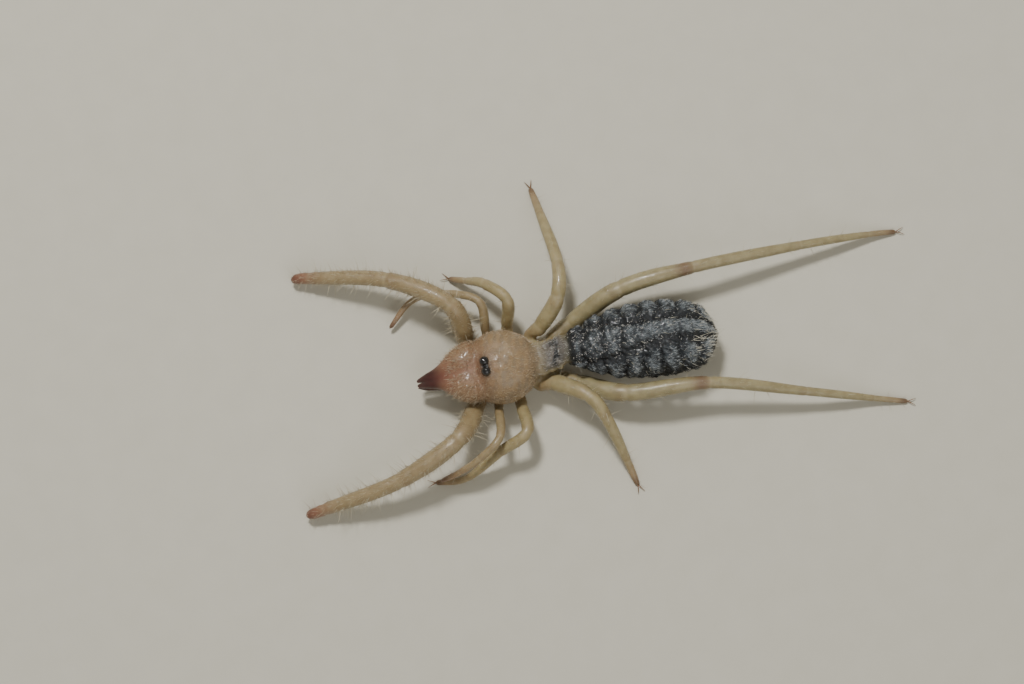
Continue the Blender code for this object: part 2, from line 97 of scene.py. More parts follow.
def angles(count):
    """Equal steps once round."""
    return np.linspace(0, math.tau, count, endpoint=False)


print("half way between two stations the curve is at", round(float(smooth([(0, 1), (1, 2), (2, 5)], 0.5)), 3))

# %% [markdown]
# Every part of the skin is a lattice: rings of points set one after another, as ribs in a hull.
# Each point also carries what the finish and the hair need to know about its place, as named
# attributes: how dark, pink, red, horny, banded, soft or grey the skin is, how thick and long
# the hair grows, and which way it lies. The "place" map unrolls each lattice onto its own tile.

# %% Lattices with marks
MARKS = ("dusk", "frost", "blush", "rose", "horn", "band", "soft", "ashen")
COATS = ("fur", "fleck", "fringe")
parts = {}


def placed(name, data):
    """A new object in the scene, at the origin."""
    made = bpy.data.objects.new(name, data)
    bpy.context.scene.collection.objects.link(made)
    return made


def rings_of(x, y, z):
    """Rings of points (n, m, 3) from their coordinates along the part and round it."""
    return np.stack(np.broadcast_arrays(x, y, z), -1)


def point_outwards(mesh):
    work = bmesh.new()
    work.from_mesh(mesh)
    bmesh.ops.recalc_face_normals(work, faces=work.faces)
    work.to_mesh(mesh)
    work.free()


def ring_faces(n, m):
    """The faces between n rings of m points, with the ring and the place of each."""
    k, j = np.meshgrid(np.arange(n - 1), np.arange(m), indexing="ij")
    a, b = k * m + j, k * m + (j + 1) % m
    return k, j, np.stack([a, b, b + m, a + m], -1).reshape(-1, 4).tolist()


def lattice(name, rings, tile, fur_length=1.0, lie=None, **given):
    """A closed mesh over rings (n, m, 3) in body millimetres, with its marks as attributes."""
    rings = np.asarray(rings, float)
    n, m = rings.shape[:2]
    k, j, quads = ring_faces(n, m)
    caps = [list(range(m))[::-1], list(range((n - 1) * m, n * m))]
    mesh = bpy.data.meshes.new(name)
    mesh.from_pydata(ORIGIN + rings.reshape(-1, 3) * MM, [], quads + caps)
    u0, v0, u1, v1 = tile
    u = np.stack([j, j + 1, j + 1, j], -1) / m
    v = np.stack([k, k, k + 1, k + 1], -1) / (n - 1)
    cap_u = np.full((2, m), 0.5)
    cap_v = np.repeat([[0.0], [1.0]], m, 1)
    place = np.stack([np.r_[u.ravel(), cap_u.ravel()], np.r_[v.ravel(), cap_v.ravel()]], 1)
    place = place * [u1 - u0, v1 - v0] + [u0, v0]
    mesh.uv_layers.new(name="place").data.foreach_set("uv", place.ravel())
    lie = np.gradient(rings, axis=0) if lie is None else np.broadcast_to(lie, rings.shape)
    lie = lie / np.maximum(np.linalg.norm(lie, axis=-1, keepdims=True), 1e-9)
    mesh.attributes.new("lie", "FLOAT_VECTOR", "POINT").data.foreach_set("vector", lie.ravel())
    fields = {"fur_length": fur_length, **{key: given.get(key, 0.0) for key in MARKS + COATS}}
    for key, value in fields.items():
        whole = np.broadcast_to(np.asarray(value, float), (n, m)).ravel()
        mesh.attributes.new(key, "FLOAT", "POINT").data.foreach_set("value", whole)
    point_outwards(mesh)
    parts[name] = placed(name, mesh)


print("a part carries", len(MARKS), "marks and", len(COATS), "kinds of coat")

# %% Patches, rounded ends and stations
PATCH_WAVES = 9


def patches(x, y, seed):
    """Soft random patches about a millimetre across, from 0 to 1, out of a few slanted waves."""
    random = np.random.default_rng(seed)
    total = 0.0
    for _ in range(PATCH_WAVES):
        angle, phase = random.uniform(0, math.tau), random.uniform(0, math.tau)
        pitch = random.uniform(3, 8)
        total = total + np.sin(pitch * (x * math.cos(angle) + y * math.sin(angle)) + phase)
    return np.clip(0.5 + total / 6, 0, 1)


def round_ends(x, low, high, reach_low, reach_high):
    """How far a section has opened between two rounded ends, from nearly 0 to 1."""
    opened = np.ones_like(x)
    near_low = np.clip((x - low) / reach_low, 0, 1)
    near_high = np.clip((high - x) / reach_high, 0, 1)
    opened *= np.sqrt(1 - (1 - near_low) ** 2)
    opened *= np.sqrt(1 - (1 - near_high) ** 2)
    return np.maximum(opened, 0.02)


def spaced(low, high, count):
    """Stations that crowd towards both ends, where a rounded end needs them."""
    t = np.linspace(0, 1, count)
    eased = 0.5 - 0.5 * np.cos(math.pi * t)
    return low + (high - low) * (0.55 * t + 0.45 * eased)


def grid(low, high, rings, sides):
    """Stations along a part as a column, and angles round it as a row."""
    return spaced(low, high, rings)[:, None], angles(sides)[None, :]


print("stations crowd towards the ends:", spaced(0, 1, 5).round(2))

# %% [markdown]
# The head shield is one tough plate that arches over the front of the body. Its front edge
# carries the eye mound, and rounded lobes stand at its front corners. The arch is widest at
# mid height, which a power on the cosine gives, and its rim curls under to meet soft skin. A
# few low knobs behind the eyes catch the light, as they do in the photo.

# %% Head shield
SHIELD_FRONT, SHIELD_REAR = -0.95, 5.35
SHIELD_HALF_WIDTH = [(-0.9, 2.95), (0.3, 3.45), (1.6, 3.7), (2.8, 3.5), (4, 2.85), (5.3, 1.75)]
SHIELD_TOP = [(-0.9, 6.1), (0.2, 6.5), (1.5, 6.75), (2.8, 6.65), (4, 6.25), (5.3, 5.3)]
RIM_HEIGHT = 3.1
EYE_RADIUS = 0.49
EYE_SPREAD = 0.5
EYE_HEIGHT = 6.72
MOUND_HEIGHT, SEAT_DEPTH, FURROW_DEPTH = 0.52, 0.2, 0.05
LOBE_HEIGHT, LOBE_SEAM_DEPTH, KNOB_HEIGHT = 0.12, 0.06, 0.06
SHIELD_KNOBS = ((1.4, 0.7), (1.6, -0.6), (2.4, 0.3))


def head_shield():
    x, t = grid(SHIELD_FRONT, SHIELD_REAR, 110, 132)
    half, top = smooth(SHIELD_HALF_WIDTH, x), smooth(SHIELD_TOP, x)
    over, under = np.clip(np.sin(t), 0, 1), np.clip(-np.sin(t), 0, 1)
    opened = round_ends(x, SHIELD_FRONT, SHIELD_REAR, 0.4, 1.1)
    y = half * power(np.cos(t), 0.82) * (0.3 + 0.7 * opened)
    rise = (top - RIM_HEIGHT) * over**0.86 - 0.3 * under
    z = RIM_HEIGHT + 1.3 * (1 - opened) * over + rise * (0.45 + 0.55 * opened)
    y = y + np.sign(np.cos(t)) * 0.05 * bell(over - under, 0.05, 0.12)
    upward = step(over, 0.55, 0.9)
    mound = MOUND_HEIGHT * bell(x, 0.02, 0.8) * bell(y, 0, 1.15)
    seat = sum(SEAT_DEPTH * step(EYE_RADIUS - np.hypot(x, y - s * EYE_SPREAD), 0.0, 0.16) for s in (-1, 1))
    furrow = FURROW_DEPTH * bell(y, 0, 0.16) * step(x, 0.9, 2.2)
    lobe = LOBE_HEIGHT * bell(np.hypot((x + 0.1) / 0.9, (np.abs(y) - 2.5) / 0.75), 0, 1)
    lobe_seam = LOBE_SEAM_DEPTH * bell(np.abs(y) - 0.35 * x, 2.05, 0.12) * step(0.9 - x, 0, 0.8)
    knobs = sum(KNOB_HEIGHT * bell(np.hypot(x - a, y - b), 0, 0.32) for a, b in SHIELD_KNOBS)
    z = z + upward * (mound - seat - furrow - lobe_seam + knobs) + lobe * over
    muscle = 0.05 * np.sin(1.9 * x + 0.7 * np.abs(y)) * np.sin(1.5 * np.abs(y) - 0.6)
    muscle = muscle + 0.12 * (patches(0.4 * x, 0.4 * y, 41) - 0.5)
    z = z + muscle * over
    fur = step(over, 0.05, 0.3) * (1 - np.clip(seat / SEAT_DEPTH, 0, 1))
    lattice("shield", rings_of(x, y, z), (0.62, 0.26, 0.98, 0.5), fur=fur, fur_length=0.9,
            blush=0.6 + 0.25 * (1 - step(x + 0.25 * np.abs(y), -0.4, 2.4)),
            rose=0.4 * bell(x, -0.7, 0.6) * bell(y, 0, 1.3),
            dusk=0.97 * np.minimum(1, 1.5 * bell(x, 0.0, 0.42) * bell(y, 0, 0.7)) * upward,
            band=0.2 * bell(x, 0.1, 0.7) * bell(y, 0, 1.4),
            ashen=0.3 * step(x, 3.6, 5.2) + 0.3 * step(patches(1.1 * x, 1.1 * y, 43), 0.4, 0.8),
            soft=0.4 * under)


head_shield()
print("the shield's lattice has", len(parts["shield"].data.vertices), "points")

# %% [markdown]
# The jaws (chelicerae) are two swollen hands side by side, each with a fixed upper finger drawn
# out to a point. Seen from above they close up in one wedge, so the inner side of each is
# nearly flat. The fixed finger turns to dark red horn, with a row of teeth on its lower edge.

# %% Jaws
JAW_TIP, JAW_ROOT = -6.97, -0.35
JAW_OUTER = [(-6.95, 0.4), (-6, 0.72), (-5, 1.05), (-4, 1.65), (-3.1, 2.35), (-2.1, 2.85),
             (-1.2, 3), (-0.3, 2.85)]
JAW_TOP = [(-6.95, 3.2), (-6, 4.1), (-5, 4.75), (-4, 5.35), (-3.1, 5.8), (-2.1, 6.1),
           (-1.2, 6.12), (-0.3, 5.9)]
JAW_BOTTOM = [(-6.95, 2.95), (-6, 3.4), (-5, 3.65), (-4.1, 3.7), (-3.6, 3.4), (-3.1, 2.8),
              (-2.4, 2.5), (-1.2, 2.5), (-0.3, 2.7)]
JAW_APART = [(-7, 0.02), (-6.2, -0.01), (-5, -0.1), (-4, -0.2), (-2.8, -0.3), (-0.3, -0.42)]
JAW_CREASE_DEPTH = 0.07
SIDES = {"right": 1, "left": -1}


def jaw(name, side):
    x, t = grid(JAW_TIP, JAW_ROOT, 92, 64)
    outer, top, bottom = smooth(JAW_OUTER, x), smooth(JAW_TOP, x), smooth(JAW_BOTTOM, x)
    apart = smooth(JAW_APART, x)
    half, tall = (outer - apart) / 2, (top - bottom) / 2
    opened = round_ends(x, JAW_TIP, JAW_ROOT, 0.25, 0.3)
    inner_side = 0.42 + 0.25 * (1 - step(x, -6.2, -4.4))
    squared = np.where(np.cos(t) > 0, 0.95, inner_side)
    y = apart + half + half * opened * power(np.cos(t), squared)
    z = bottom + tall + tall * opened * power(np.sin(t), 0.9)
    crease = JAW_CREASE_DEPTH * bell(z - (3.9 - 0.25 * (x + 3.4)), 0, 0.12) * bell(x, -3.3, 0.9)
    y = y - crease * np.clip(np.cos(t), 0, 1)
    muscle = 0.04 * np.sin(2.3 * x + 1.6 * y) * step(x, -5, -3.2)
    z = z + muscle * np.clip(np.sin(t), 0, 1)
    horn = (1 - step(x + 0.3 * (z - 4.2) + 0.25 * np.abs(y - 0.4), -5.4, -3.2)) ** 1.1
    rose = 0.75 * step(-x - 0.25 * y, 2.3, 4.3) + 0.35 * bell(x, -1.5, 1.7) * bell(y, 0.0, 1.0)
    # The thin darker red line along the slit between the two jaws is painted shade.
    rose = rose + 0.25 * bell(y, 0.0, 0.22) * step(-x, 0.8, 2.0)
    bare = step(-x - 0.2 * y, 3.1, 4.2)
    shift = 0.18 * (side > 0)
    lattice(f"jaw_{name}", rings_of(x, side * y, z), (0.62 + shift, 0.02, 0.79 + shift, 0.24),
            fur=(1 - bare) * (0.35 + 0.65 * step(np.cos(t), -0.75, -0.3)),
            fur_length=0.9 + 0.5 * step(-np.sin(t), 0.0, 0.8), lie=(-1.0, side * 0.25, -0.15),
            blush=0.85 * (1 - step(-x - 0.2 * y, 3.2, 4.4)), rose=rose, horn=horn)


for side_name, side_sign in SIDES.items():
    jaw(side_name, side_sign)
print("the jaws are", round(JAW_ROOT - JAW_TIP, 2), "mm long")

# %% [markdown]
# The abdomen is a soft bag of rings. Down the back of each ring runs a narrow plate; a fold
# parts it from the full flanks, and a groove parts each ring from the next. All of this is one
# formula of two coordinates: the distance from the front and the angle from the top. Towards
# the rear the whole pattern is rolled to the animal's right, as the body lies in the photo.

# %% Abdomen
ABDOMEN_ROOT = np.array([8.3, 0.5])
ABDOMEN_TURN = math.radians(-5.0)
ABDOMEN_LENGTH = 15.0
ABDOMEN_SEGMENTS = 8
ABDOMEN_HALF_WIDTH = [(0, 1.6), (1.3, 2.15), (3.4, 2.98), (5.5, 3.52), (8.5, 3.82), (11, 3.7),
                      (13.2, 3), (14.5, 1.8), (15, 0.9)]
ABDOMEN_TOP = [(0, 5.2), (1.3, 5.95), (4, 7.15), (8, 7.75), (11.5, 7.2), (13.8, 5.7), (15, 4.2)]
ABDOMEN_BOTTOM = [(0, 3.2), (1.3, 2.5), (4, 1.3), (8, 0.6), (11.5, 0.8), (13.8, 1.9), (15, 3)]
COAT_DEPTH = 0.1
PLATE_EDGE = [(0, 48), (2, 42), (4.5, 26), (6.5, 15), (9, 12), (15, 11)]
FOLD_BESIDE_PLATE = math.radians(7.5)
FLANK_ANGLE = [(0, 63), (5, 60), (7.5, 56), (9.5, 47), (15, 43)]
CREST_ANGLE = [(0, 17), (5, 19), (7.5, 15), (11, 13), (15, 14)]
BELLY_FOLD = math.radians(112)
ABDOMEN_ROLL = math.radians(12.0)
STREAK_PITCH = 0.55
PLATE_RISE, FLANK_RISE, WRINKLE_DEPTH = 0.14, 0.44, 0.03
FOLD_DEPTH, BELLY_FOLD_DEPTH, GROOVE_DEPTH, SEAM_DEPTH = 0.34, 0.09, 0.1, 0.03


def abdomen():
    s = np.linspace(-0.55, ABDOMEN_LENGTH + 0.08, 200)[:, None]
    t = angles(140)[None, :]
    half, top, bottom = smooth(ABDOMEN_HALF_WIDTH, s), smooth(ABDOMEN_TOP, s), smooth(ABDOMEN_BOTTOM, s)
    half = half + 0.3 * bell(s, 13.4, 1.1)
    middle, tall = (top + bottom) / 2, (top - bottom) / 2
    roll = ABDOMEN_ROLL * step(s, 4, 11)
    from_top = np.abs((t - math.pi / 2 + roll + math.pi) % math.tau - math.pi)
    bend = 0.35 * np.cos(from_top) * (1 - s / ABDOMEN_LENGTH)
    skewed, arc = s + 0.6 * half * np.cos(t), half * from_top
    along = ABDOMEN_SEGMENTS * (s + bend) / ABDOMEN_LENGTH + 0.2 * (patches(0.5 * skewed, 0.6 * arc, 2) - 0.5)
    beat = np.abs(np.sin(math.pi * along)) * step(s + bend, -0.05, 0.3)
    mound = beat**1.05
    edge = np.radians(smooth(PLATE_EDGE, s))
    plate = 1 - step(from_top, edge * 0.7, edge * 1.15)
    fold = bell(from_top, edge + FOLD_BESIDE_PLATE, FOLD_BESIDE_PLATE)
    flank = bell(from_top, np.radians(smooth(FLANK_ANGLE, s)), math.radians(25))
    low_fold = bell(from_top, BELLY_FOLD, math.radians(9))
    seam = np.exp(-((beat / 0.2) ** 2))
    fade = np.minimum(1.0, half / 2.5) * step(ABDOMEN_LENGTH - s, 0.0, 1.2)
    crest = bell(from_top, 0, np.radians(smooth(CREST_ANGLE, s)))
    waved = math.tau * (s + 0.3 * patches(skewed, 2 * arc, 31)) / STREAK_PITCH
    streak = np.sin(waved) * step(s, 6, 8) * plate
    wrinkle = WRINKLE_DEPTH * np.sin(22 * t + 3 * np.sin(5 * s)) * flank * mound + WRINKLE_DEPTH * streak
    crumple = 0.18 * (patches(skewed, arc, 4) - 0.5) + 0.07 * (patches(2.1 * skewed, 2.1 * arc, 8) - 0.5)
    grow = (PLATE_RISE * plate * (mound - 0.45) * (1 - 0.6 * step(s, 6, 8))
            - FOLD_DEPTH * fold * (0.8 + 0.2 * mound) + FLANK_RISE * flank * (mound - 0.55)
            - BELLY_FOLD_DEPTH * low_fold - GROOVE_DEPTH * (1 - mound) * (1 - flank) * (1 - plate)
            - SEAM_DEPTH * seam + wrinkle + crumple) * fade
    grow = grow - COAT_DEPTH
    opened = round_ends(s, -0.6, ABDOMEN_LENGTH + 0.1, 0.35, 0.5)
    y = (half + grow) * power(np.cos(t), 0.92) * (0.3 + 0.7 * opened)
    z = middle + (tall + grow) * power(np.sin(t), 0.92) * (0.3 + 0.7 * opened)
    turn = np.array([[math.cos(ABDOMEN_TURN), -math.sin(ABDOMEN_TURN)],
                     [math.sin(ABDOMEN_TURN), math.cos(ABDOMEN_TURN)]])
    flat = np.stack(np.broadcast_arrays(s, y), -1) @ turn.T + ABDOMEN_ROOT
    rings = np.concatenate([flat, np.broadcast_to(z, y.shape)[..., None]], -1)
    belly = step(from_top, math.radians(95), math.radians(130))
    groove = np.clip(fold + 0.8 * seam, 0, 1)
    front = 1 - step(s, -0.35, 0.1)
    rear = step(s, 11.5, 14.6)
    centre = 1 - step(np.abs(y), 0.9, 2.6)
    fleck = step(patches(1.6 * s, 1.6 * y, 9), 0.5, 0.8) * (0.2 + centre * (1.5 - 1.3 * step(s, 4, 11)))
    silver_and_highlight = 0.4 * step(patches(0.9 * s, 0.9 * y, 6), 0.3, 0.75)
    silver_and_highlight = silver_and_highlight + 0.6 * step(patches(2.3 * s, 2.3 * y, 16), 0.4, 0.8)
    # Silver on the raised halves of the rear wrinkles; the bright arc on the first ring is a painted
    # highlight.
    silver_and_highlight = silver_and_highlight + 0.6 * np.clip(streak, 0, 1) + 1.5 * bell(s + bend, 1.35, 0.25) * bell(from_top, 0, 0.3)
    silver_and_highlight = silver_and_highlight + 0.6 * rear * (flank + crest)
    # Painted light: the central crest and the flank ridges are lit, and this fades out towards the front
    # edge.
    painted_light_on_ridges = np.clip(1.2 * crest + flank * (0.65 + 0.35 * step(s, 2, 6)), 0.05, 1) * step(s, 0.5, 1.1)
    # The grey silver mark is the hair's own patches, lighter on the ring tops and ridges as painted light,
    # and dark in the folds and ring grooves as painted shade.
    lattice("abdomen", rings, (0.62, 0.54, 0.98, 0.98),
            fur=(1 - 0.5 * groove) * (1 - 0.5 * belly) * (1 - front), fleck=fleck * (1 - belly) * (1 - front),
            fringe=(0.05 + rear * (0.15 + 1.7 * flank)) * (1 - 0.4 * belly) * (1 - front),
            fur_length=0.9 + 0.25 * rear, dusk=(1 - 0.3 * belly) * (1 - front),
            ashen=0.9 * front + 0.5 * belly,
            frost=(mound + 0.7 * (1 - mound) * plate * step(s, 6, 8)) ** 1.3 * (1 - fold) ** 2
            * (0.2 + 0.8 * silver_and_highlight) * (1 - 0.7 * belly) * painted_light_on_ridges)


abdomen()
print("the abdomen has", ABDOMEN_SEGMENTS, "rings of", ABDOMEN_LENGTH / ABDOMEN_SEGMENTS, "mm")

# %% [markdown]
# Between head and abdomen is a soft waist, where the skin shows pale and greyish violet through
# narrow grey plates. Under the shield a soft core closes the space down to the leg bases.

# %% Waist, core and breast
WAIST_FRONT, WAIST_REAR = 4.6, 8.5
WAIST_HALF_WIDTH, WAIST_HALF_HEIGHT, WAIST_MIDDLE = 1.72, 1.02, 4.25
WAIST_ROLLS = 3
CORE_FRONT, CORE_REAR = -1.5, 6.6
CORE_MIDDLE, CORE_HALF_HEIGHT = 3.15, 1.35
BREAST_HALF_WIDTH = [(-0.8, 1.1), (0.8, 1.85), (2.4, 2.1), (4.2, 2.1), (5.2, 2.15), (6.4, 1.95), (7.4, 1.1)]
BREAST_FRONT, BREAST_REAR = BREAST_HALF_WIDTH[0][0], BREAST_HALF_WIDTH[-1][0]
BREAST_MIDDLE, BREAST_HALF_HEIGHT = 2.1, 0.78


def waist():
    x = np.linspace(WAIST_FRONT, WAIST_REAR, 72)[:, None]
    t = angles(80)[None, :]
    f = np.clip((x - 5.6) / 2.27, 0, 1)
    roll = np.abs(np.sin(math.pi * WAIST_ROLLS * (x - 5.35) / 2.6)) ** 0.8
    half = WAIST_HALF_WIDTH + 0.05 * roll - 0.16 * np.sin(math.pi * f) - 0.55 * step(x, 7.5, 8.6)
    tall = WAIST_HALF_HEIGHT + 0.05 * roll
    opened = round_ends(x, WAIST_FRONT, WAIST_REAR, 0.4, 0.3)
    pucker = 0.2 * (patches(1.5 * x, 2.2 * np.cos(t), 12) - 0.5)
    y = 0.5 * f * f + (half + pucker) * opened * np.cos(t)
    z = WAIST_MIDDLE + (tall + pucker) * opened * np.sin(t)
    over = np.clip(np.sin(t), 0, 1)
    plates = step(over, 0.5, 0.85) * step(roll, 0.3, 0.9)
    dark_patch = 0.98 * bell(x, 7.1, 0.48) * step(patches(x, 1.4 * np.cos(t), 21), 0.15, 0.6)
    lattice("waist", rings_of(x, y, z), (0.62, 0.505, 0.8, 0.535), fur=step(over, 0.3, 0.6), fur_length=1.1,
            ashen=0.35 + 0.65 * step(x, 5.2, 6.4) * step(over, 0.2, 0.7),
            dusk=plates * 0.22 + (dark_patch + 0.4 * step(x, 7.6, 8.2)) * over,
            blush=0.3 * (1 - step(x, 5.2, 6.6)))


def core():
    """Soft skin inside the rim of the shield and behind the jaws."""
    x, t = grid(CORE_FRONT, CORE_REAR, 48, 64)
    half = 0.86 * smooth(SHIELD_HALF_WIDTH, x)
    opened = round_ends(x, CORE_FRONT, CORE_REAR, 1.4, 1.4)
    pleat = 0.05 * np.sin(9 * x)
    y = (half + pleat) * opened * power(np.cos(t), 0.8)
    z = CORE_MIDDLE + CORE_HALF_HEIGHT * opened * power(np.sin(t), 0.8)
    lattice("core", rings_of(x, y, z), (0.82, 0.505, 0.98, 0.535), soft=0.6, blush=0.35)


def breast():
    """The underside of the head, where the leg bases meet along the middle line."""
    x, t = grid(BREAST_FRONT, BREAST_REAR, 54, 56)
    opened = round_ends(x, BREAST_FRONT, BREAST_REAR, 0.7, 0.7)
    y = smooth(BREAST_HALF_WIDTH, x) * opened * power(np.cos(t), 0.8)
    line = 0.12 * bell(y, 0, 0.12) * (np.sin(t) < 0)
    z = BREAST_MIDDLE + BREAST_HALF_HEIGHT * opened * power(np.sin(t), 0.75) + line
    lattice("breast", rings_of(x, y, z), (0.62, 0.0, 0.98, 0.018), fur=0.25, soft=0.35)


waist()
core()
breast()
print("the waist is", round(WAIST_REAR - WAIST_FRONT, 2), "mm long, with its ends hidden")

# %% [markdown]
# A limb is a tube along a smooth path through its joints. At each joint the shell swells a
# little, then comes a groove of pale, soft skin, as where the living limb bends; the shell is
# brown just before it. The thickness swells between joints as muscle fills the shell. A row of
# the table is a joint: its place x, y, z and the limb's radius there.

# %% Limb paths
LIMBS = {
    ("palp", "right"): [
        (0.8, 0.7, 1.6, 0.62), (-0.7, 1.75, 1.55, 0.66), (-1.3, 3.35, 2, 0.84), (-2.3, 6.9, 5.6, 0.84),
        (-8, 10.7, 4.4, 0.76), (-15.5, 12.8, 1.7, 0.58), (-17.4, 13.1, 1.1, 0.44)],
    ("palp", "left"): [
        (0.8, -0.7, 1.6, 0.62), (-0.7, -1.75, 1.55, 0.66), (-1.6, -3.25, 2, 0.84),
        (-4, -6.5, 5.6, 0.84), (-10.5, -9.3, 4.4, 0.76), (-18.3, -10.4, 1.7, 0.58),
        (-20.2, -10.65, 1.1, 0.44)],
    ("leg_1", "right"): [
        (1.5, 0.6, 1.5, 0.4), (1, 2.5, 1.75, 0.42), (0.8, 4, 2.3, 0.44), (0.6, 6.9, 4.4, 0.4),
        (-3, 8.6, 2.8, 0.34), (-6, 8.5, 1.8, 0.31), (-8.6, 6.4, 0.9, 0.2)],
    ("leg_1", "left"): [
        (1.5, -0.6, 1.5, 0.4), (0.9, -2.5, 1.75, 0.42), (0.6, -3.9, 2.3, 0.44), (0.1, -7, 5.2, 0.4),
        (-2.3, -8.7, 4.6, 0.34), (-4.4, -9.5, 3.4, 0.31), (-6.4, -9.9, 2.1, 0.2)],
    ("leg_2", "right"): [
        (2.6, 0.6, 1.55, 0.5), (2.8, 2.6, 1.8, 0.52), (3, 4.2, 2.4, 0.57), (3.4, 6.3, 5.4, 0.55),
        (1.5, 8.5, 4.2, 0.5), (-0.2, 9.5, 1.9, 0.34), (-1.8, 10.3, 0.15, 0.25)],
    ("leg_2", "left"): [
        (2.6, -0.6, 1.55, 0.5), (2.8, -2.6, 1.8, 0.52), (2.9, -4.2, 2.4, 0.57), (2.8, -7, 4.6, 0.55),
        (-0.2, -8.3, 3.3, 0.5), (-3.9, -10, 1, 0.34), (-7, -9.8, 0.15, 0.25)],
    ("leg_3", "right"): [
        (3.7, 0.6, 1.65, 0.58), (4.9, 2.5, 1.95, 0.66), (6.3, 3.4, 3, 0.74), (8.4, 5.7, 5, 0.7),
        (9.1, 9.2, 4.6, 0.6), (8.5, 15, 1.5, 0.42), (8.1, 17.9, 0.15, 0.26)],
    ("leg_3", "left"): [
        (3.7, -0.6, 1.65, 0.58), (4.9, -2.05, 2.05, 0.72), (6.5, -2.45, 3.1, 0.82), (9.5, -4.6, 5, 0.66),
        (10.85, -7.1, 4.4, 0.58), (12.2, -11.4, 1.4, 0.4), (12.85, -13.9, 0.15, 0.24)],
    ("leg_4", "right"): [
        (5.2, 0.6, 1.65, 0.62), (6.9, 1.85, 1.6, 0.72), (9.3, 3.2, 1.95, 0.82), (14.8, 5.4, 4.1, 0.84),
        (22.3, 6.05, 4.7, 0.6), (33.5, 6.45, 2.8, 0.44), (40.8, 6.5, 0.9, 0.3), (43.7, 6.35, 0.15, 0.24)],
    ("leg_4", "left"): [
        (5.2, -0.6, 1.65, 0.62), (6.8, -1.7, 1.6, 0.72), (8.9, -2.8, 1.95, 0.82), (13.4, -4.95, 3.9, 0.84),
        (21.6, -5.65, 4.8, 0.6), (31, -8.15, 3, 0.44), (37.8, -9.95, 0.9, 0.3),
        (41.2, -10.85, 0.15, 0.24)],
}
SWELL = {"palp": (0.0, 0.06, 0.14, 0.12, 0.06, 0.02), "leg_1": (0.0, 0.02, 0.05, 0.03, 0.02, 0.03),
         "leg_2": (0.0, 0.03, 0.08, 0.05, 0.04, 0.03), "leg_3": (0.0, 0.05, 0.1, 0.06, 0.06, 0.03),
         "leg_4": (0.0, 0.05, 0.12, 0.1, 0.06, 0.04, 0.02)}


def path_at(points, t):
    """Places and directions on a smooth curve through points; t counts the points."""
    points = np.asarray(points, float)
    ends = np.vstack([2 * points[0] - points[1], points, 2 * points[-1] - points[-2]])
    k = np.clip(t.astype(int), 0, len(points) - 2)
    f = (t - k)[:, None]
    a, b, c, d = ends[k], ends[k + 1], ends[k + 2], ends[k + 3]
    place = 0.5 * (2 * b + (c - a) * f + (2 * a - 5 * b + 4 * c - d) * f**2
                   + (3 * b - a - 3 * c + d) * f**3)
    along = 0.5 * ((c - a) + 2 * (2 * a - 5 * b + 4 * c - d) * f + 3 * (3 * b - a - 3 * c + d) * f**2)
    return place, along / np.linalg.norm(along, axis=1, keepdims=True)


def tube_rings(centres, along, radii, sides, flatten=1.0, upright=(0, 0, 1.0)):
    """Rings of points round a path. The first point of a ring lies square to the upright."""
    across = np.cross(along, upright)
    across /= np.linalg.norm(across, axis=1, keepdims=True)
    up = np.cross(across, along)
    a = angles(sides)[None, :, None]
    around = flatten * np.cos(a) * across[:, None] + np.sin(a) * up[:, None]
    return centres[:, None] + radii[:, None, None] * around


# %% [markdown]
# A palp has no claws: it ends in a round, reddish pad. It is also the hairiest limb, as it is a
# feeler, while the first legs are thin and nearly bare. Long hairs stand nearly upright.

# %% Limbs
RINGS_PER_MM = 5.5
LIMB_SIDES = 20
JOINT_SWELL, JOINT_GROOVE, JOINT_KNUCKLE = 0.05, 0.045, 0.03
LIMB_FUR = {"palp": 1.0, "leg_1": 0.35, "leg_2": 0.5, "leg_3": 0.5, "leg_4": 0.42}
LIMB_BLUSH = {"palp": 0.36, "leg_1": 0.34, "leg_2": 0.14, "leg_3": 0.1, "leg_4": 0.0}
LIMB_GREY = {"palp": 0.1, "leg_1": 0.14, "leg_2": 0.04, "leg_3": 0.08, "leg_4": 0.2}
limb_tiles = {key: (0.06 * i + 0.004, 0.02, 0.06 * i + 0.054, 0.96) for i, key in enumerate(LIMBS)}


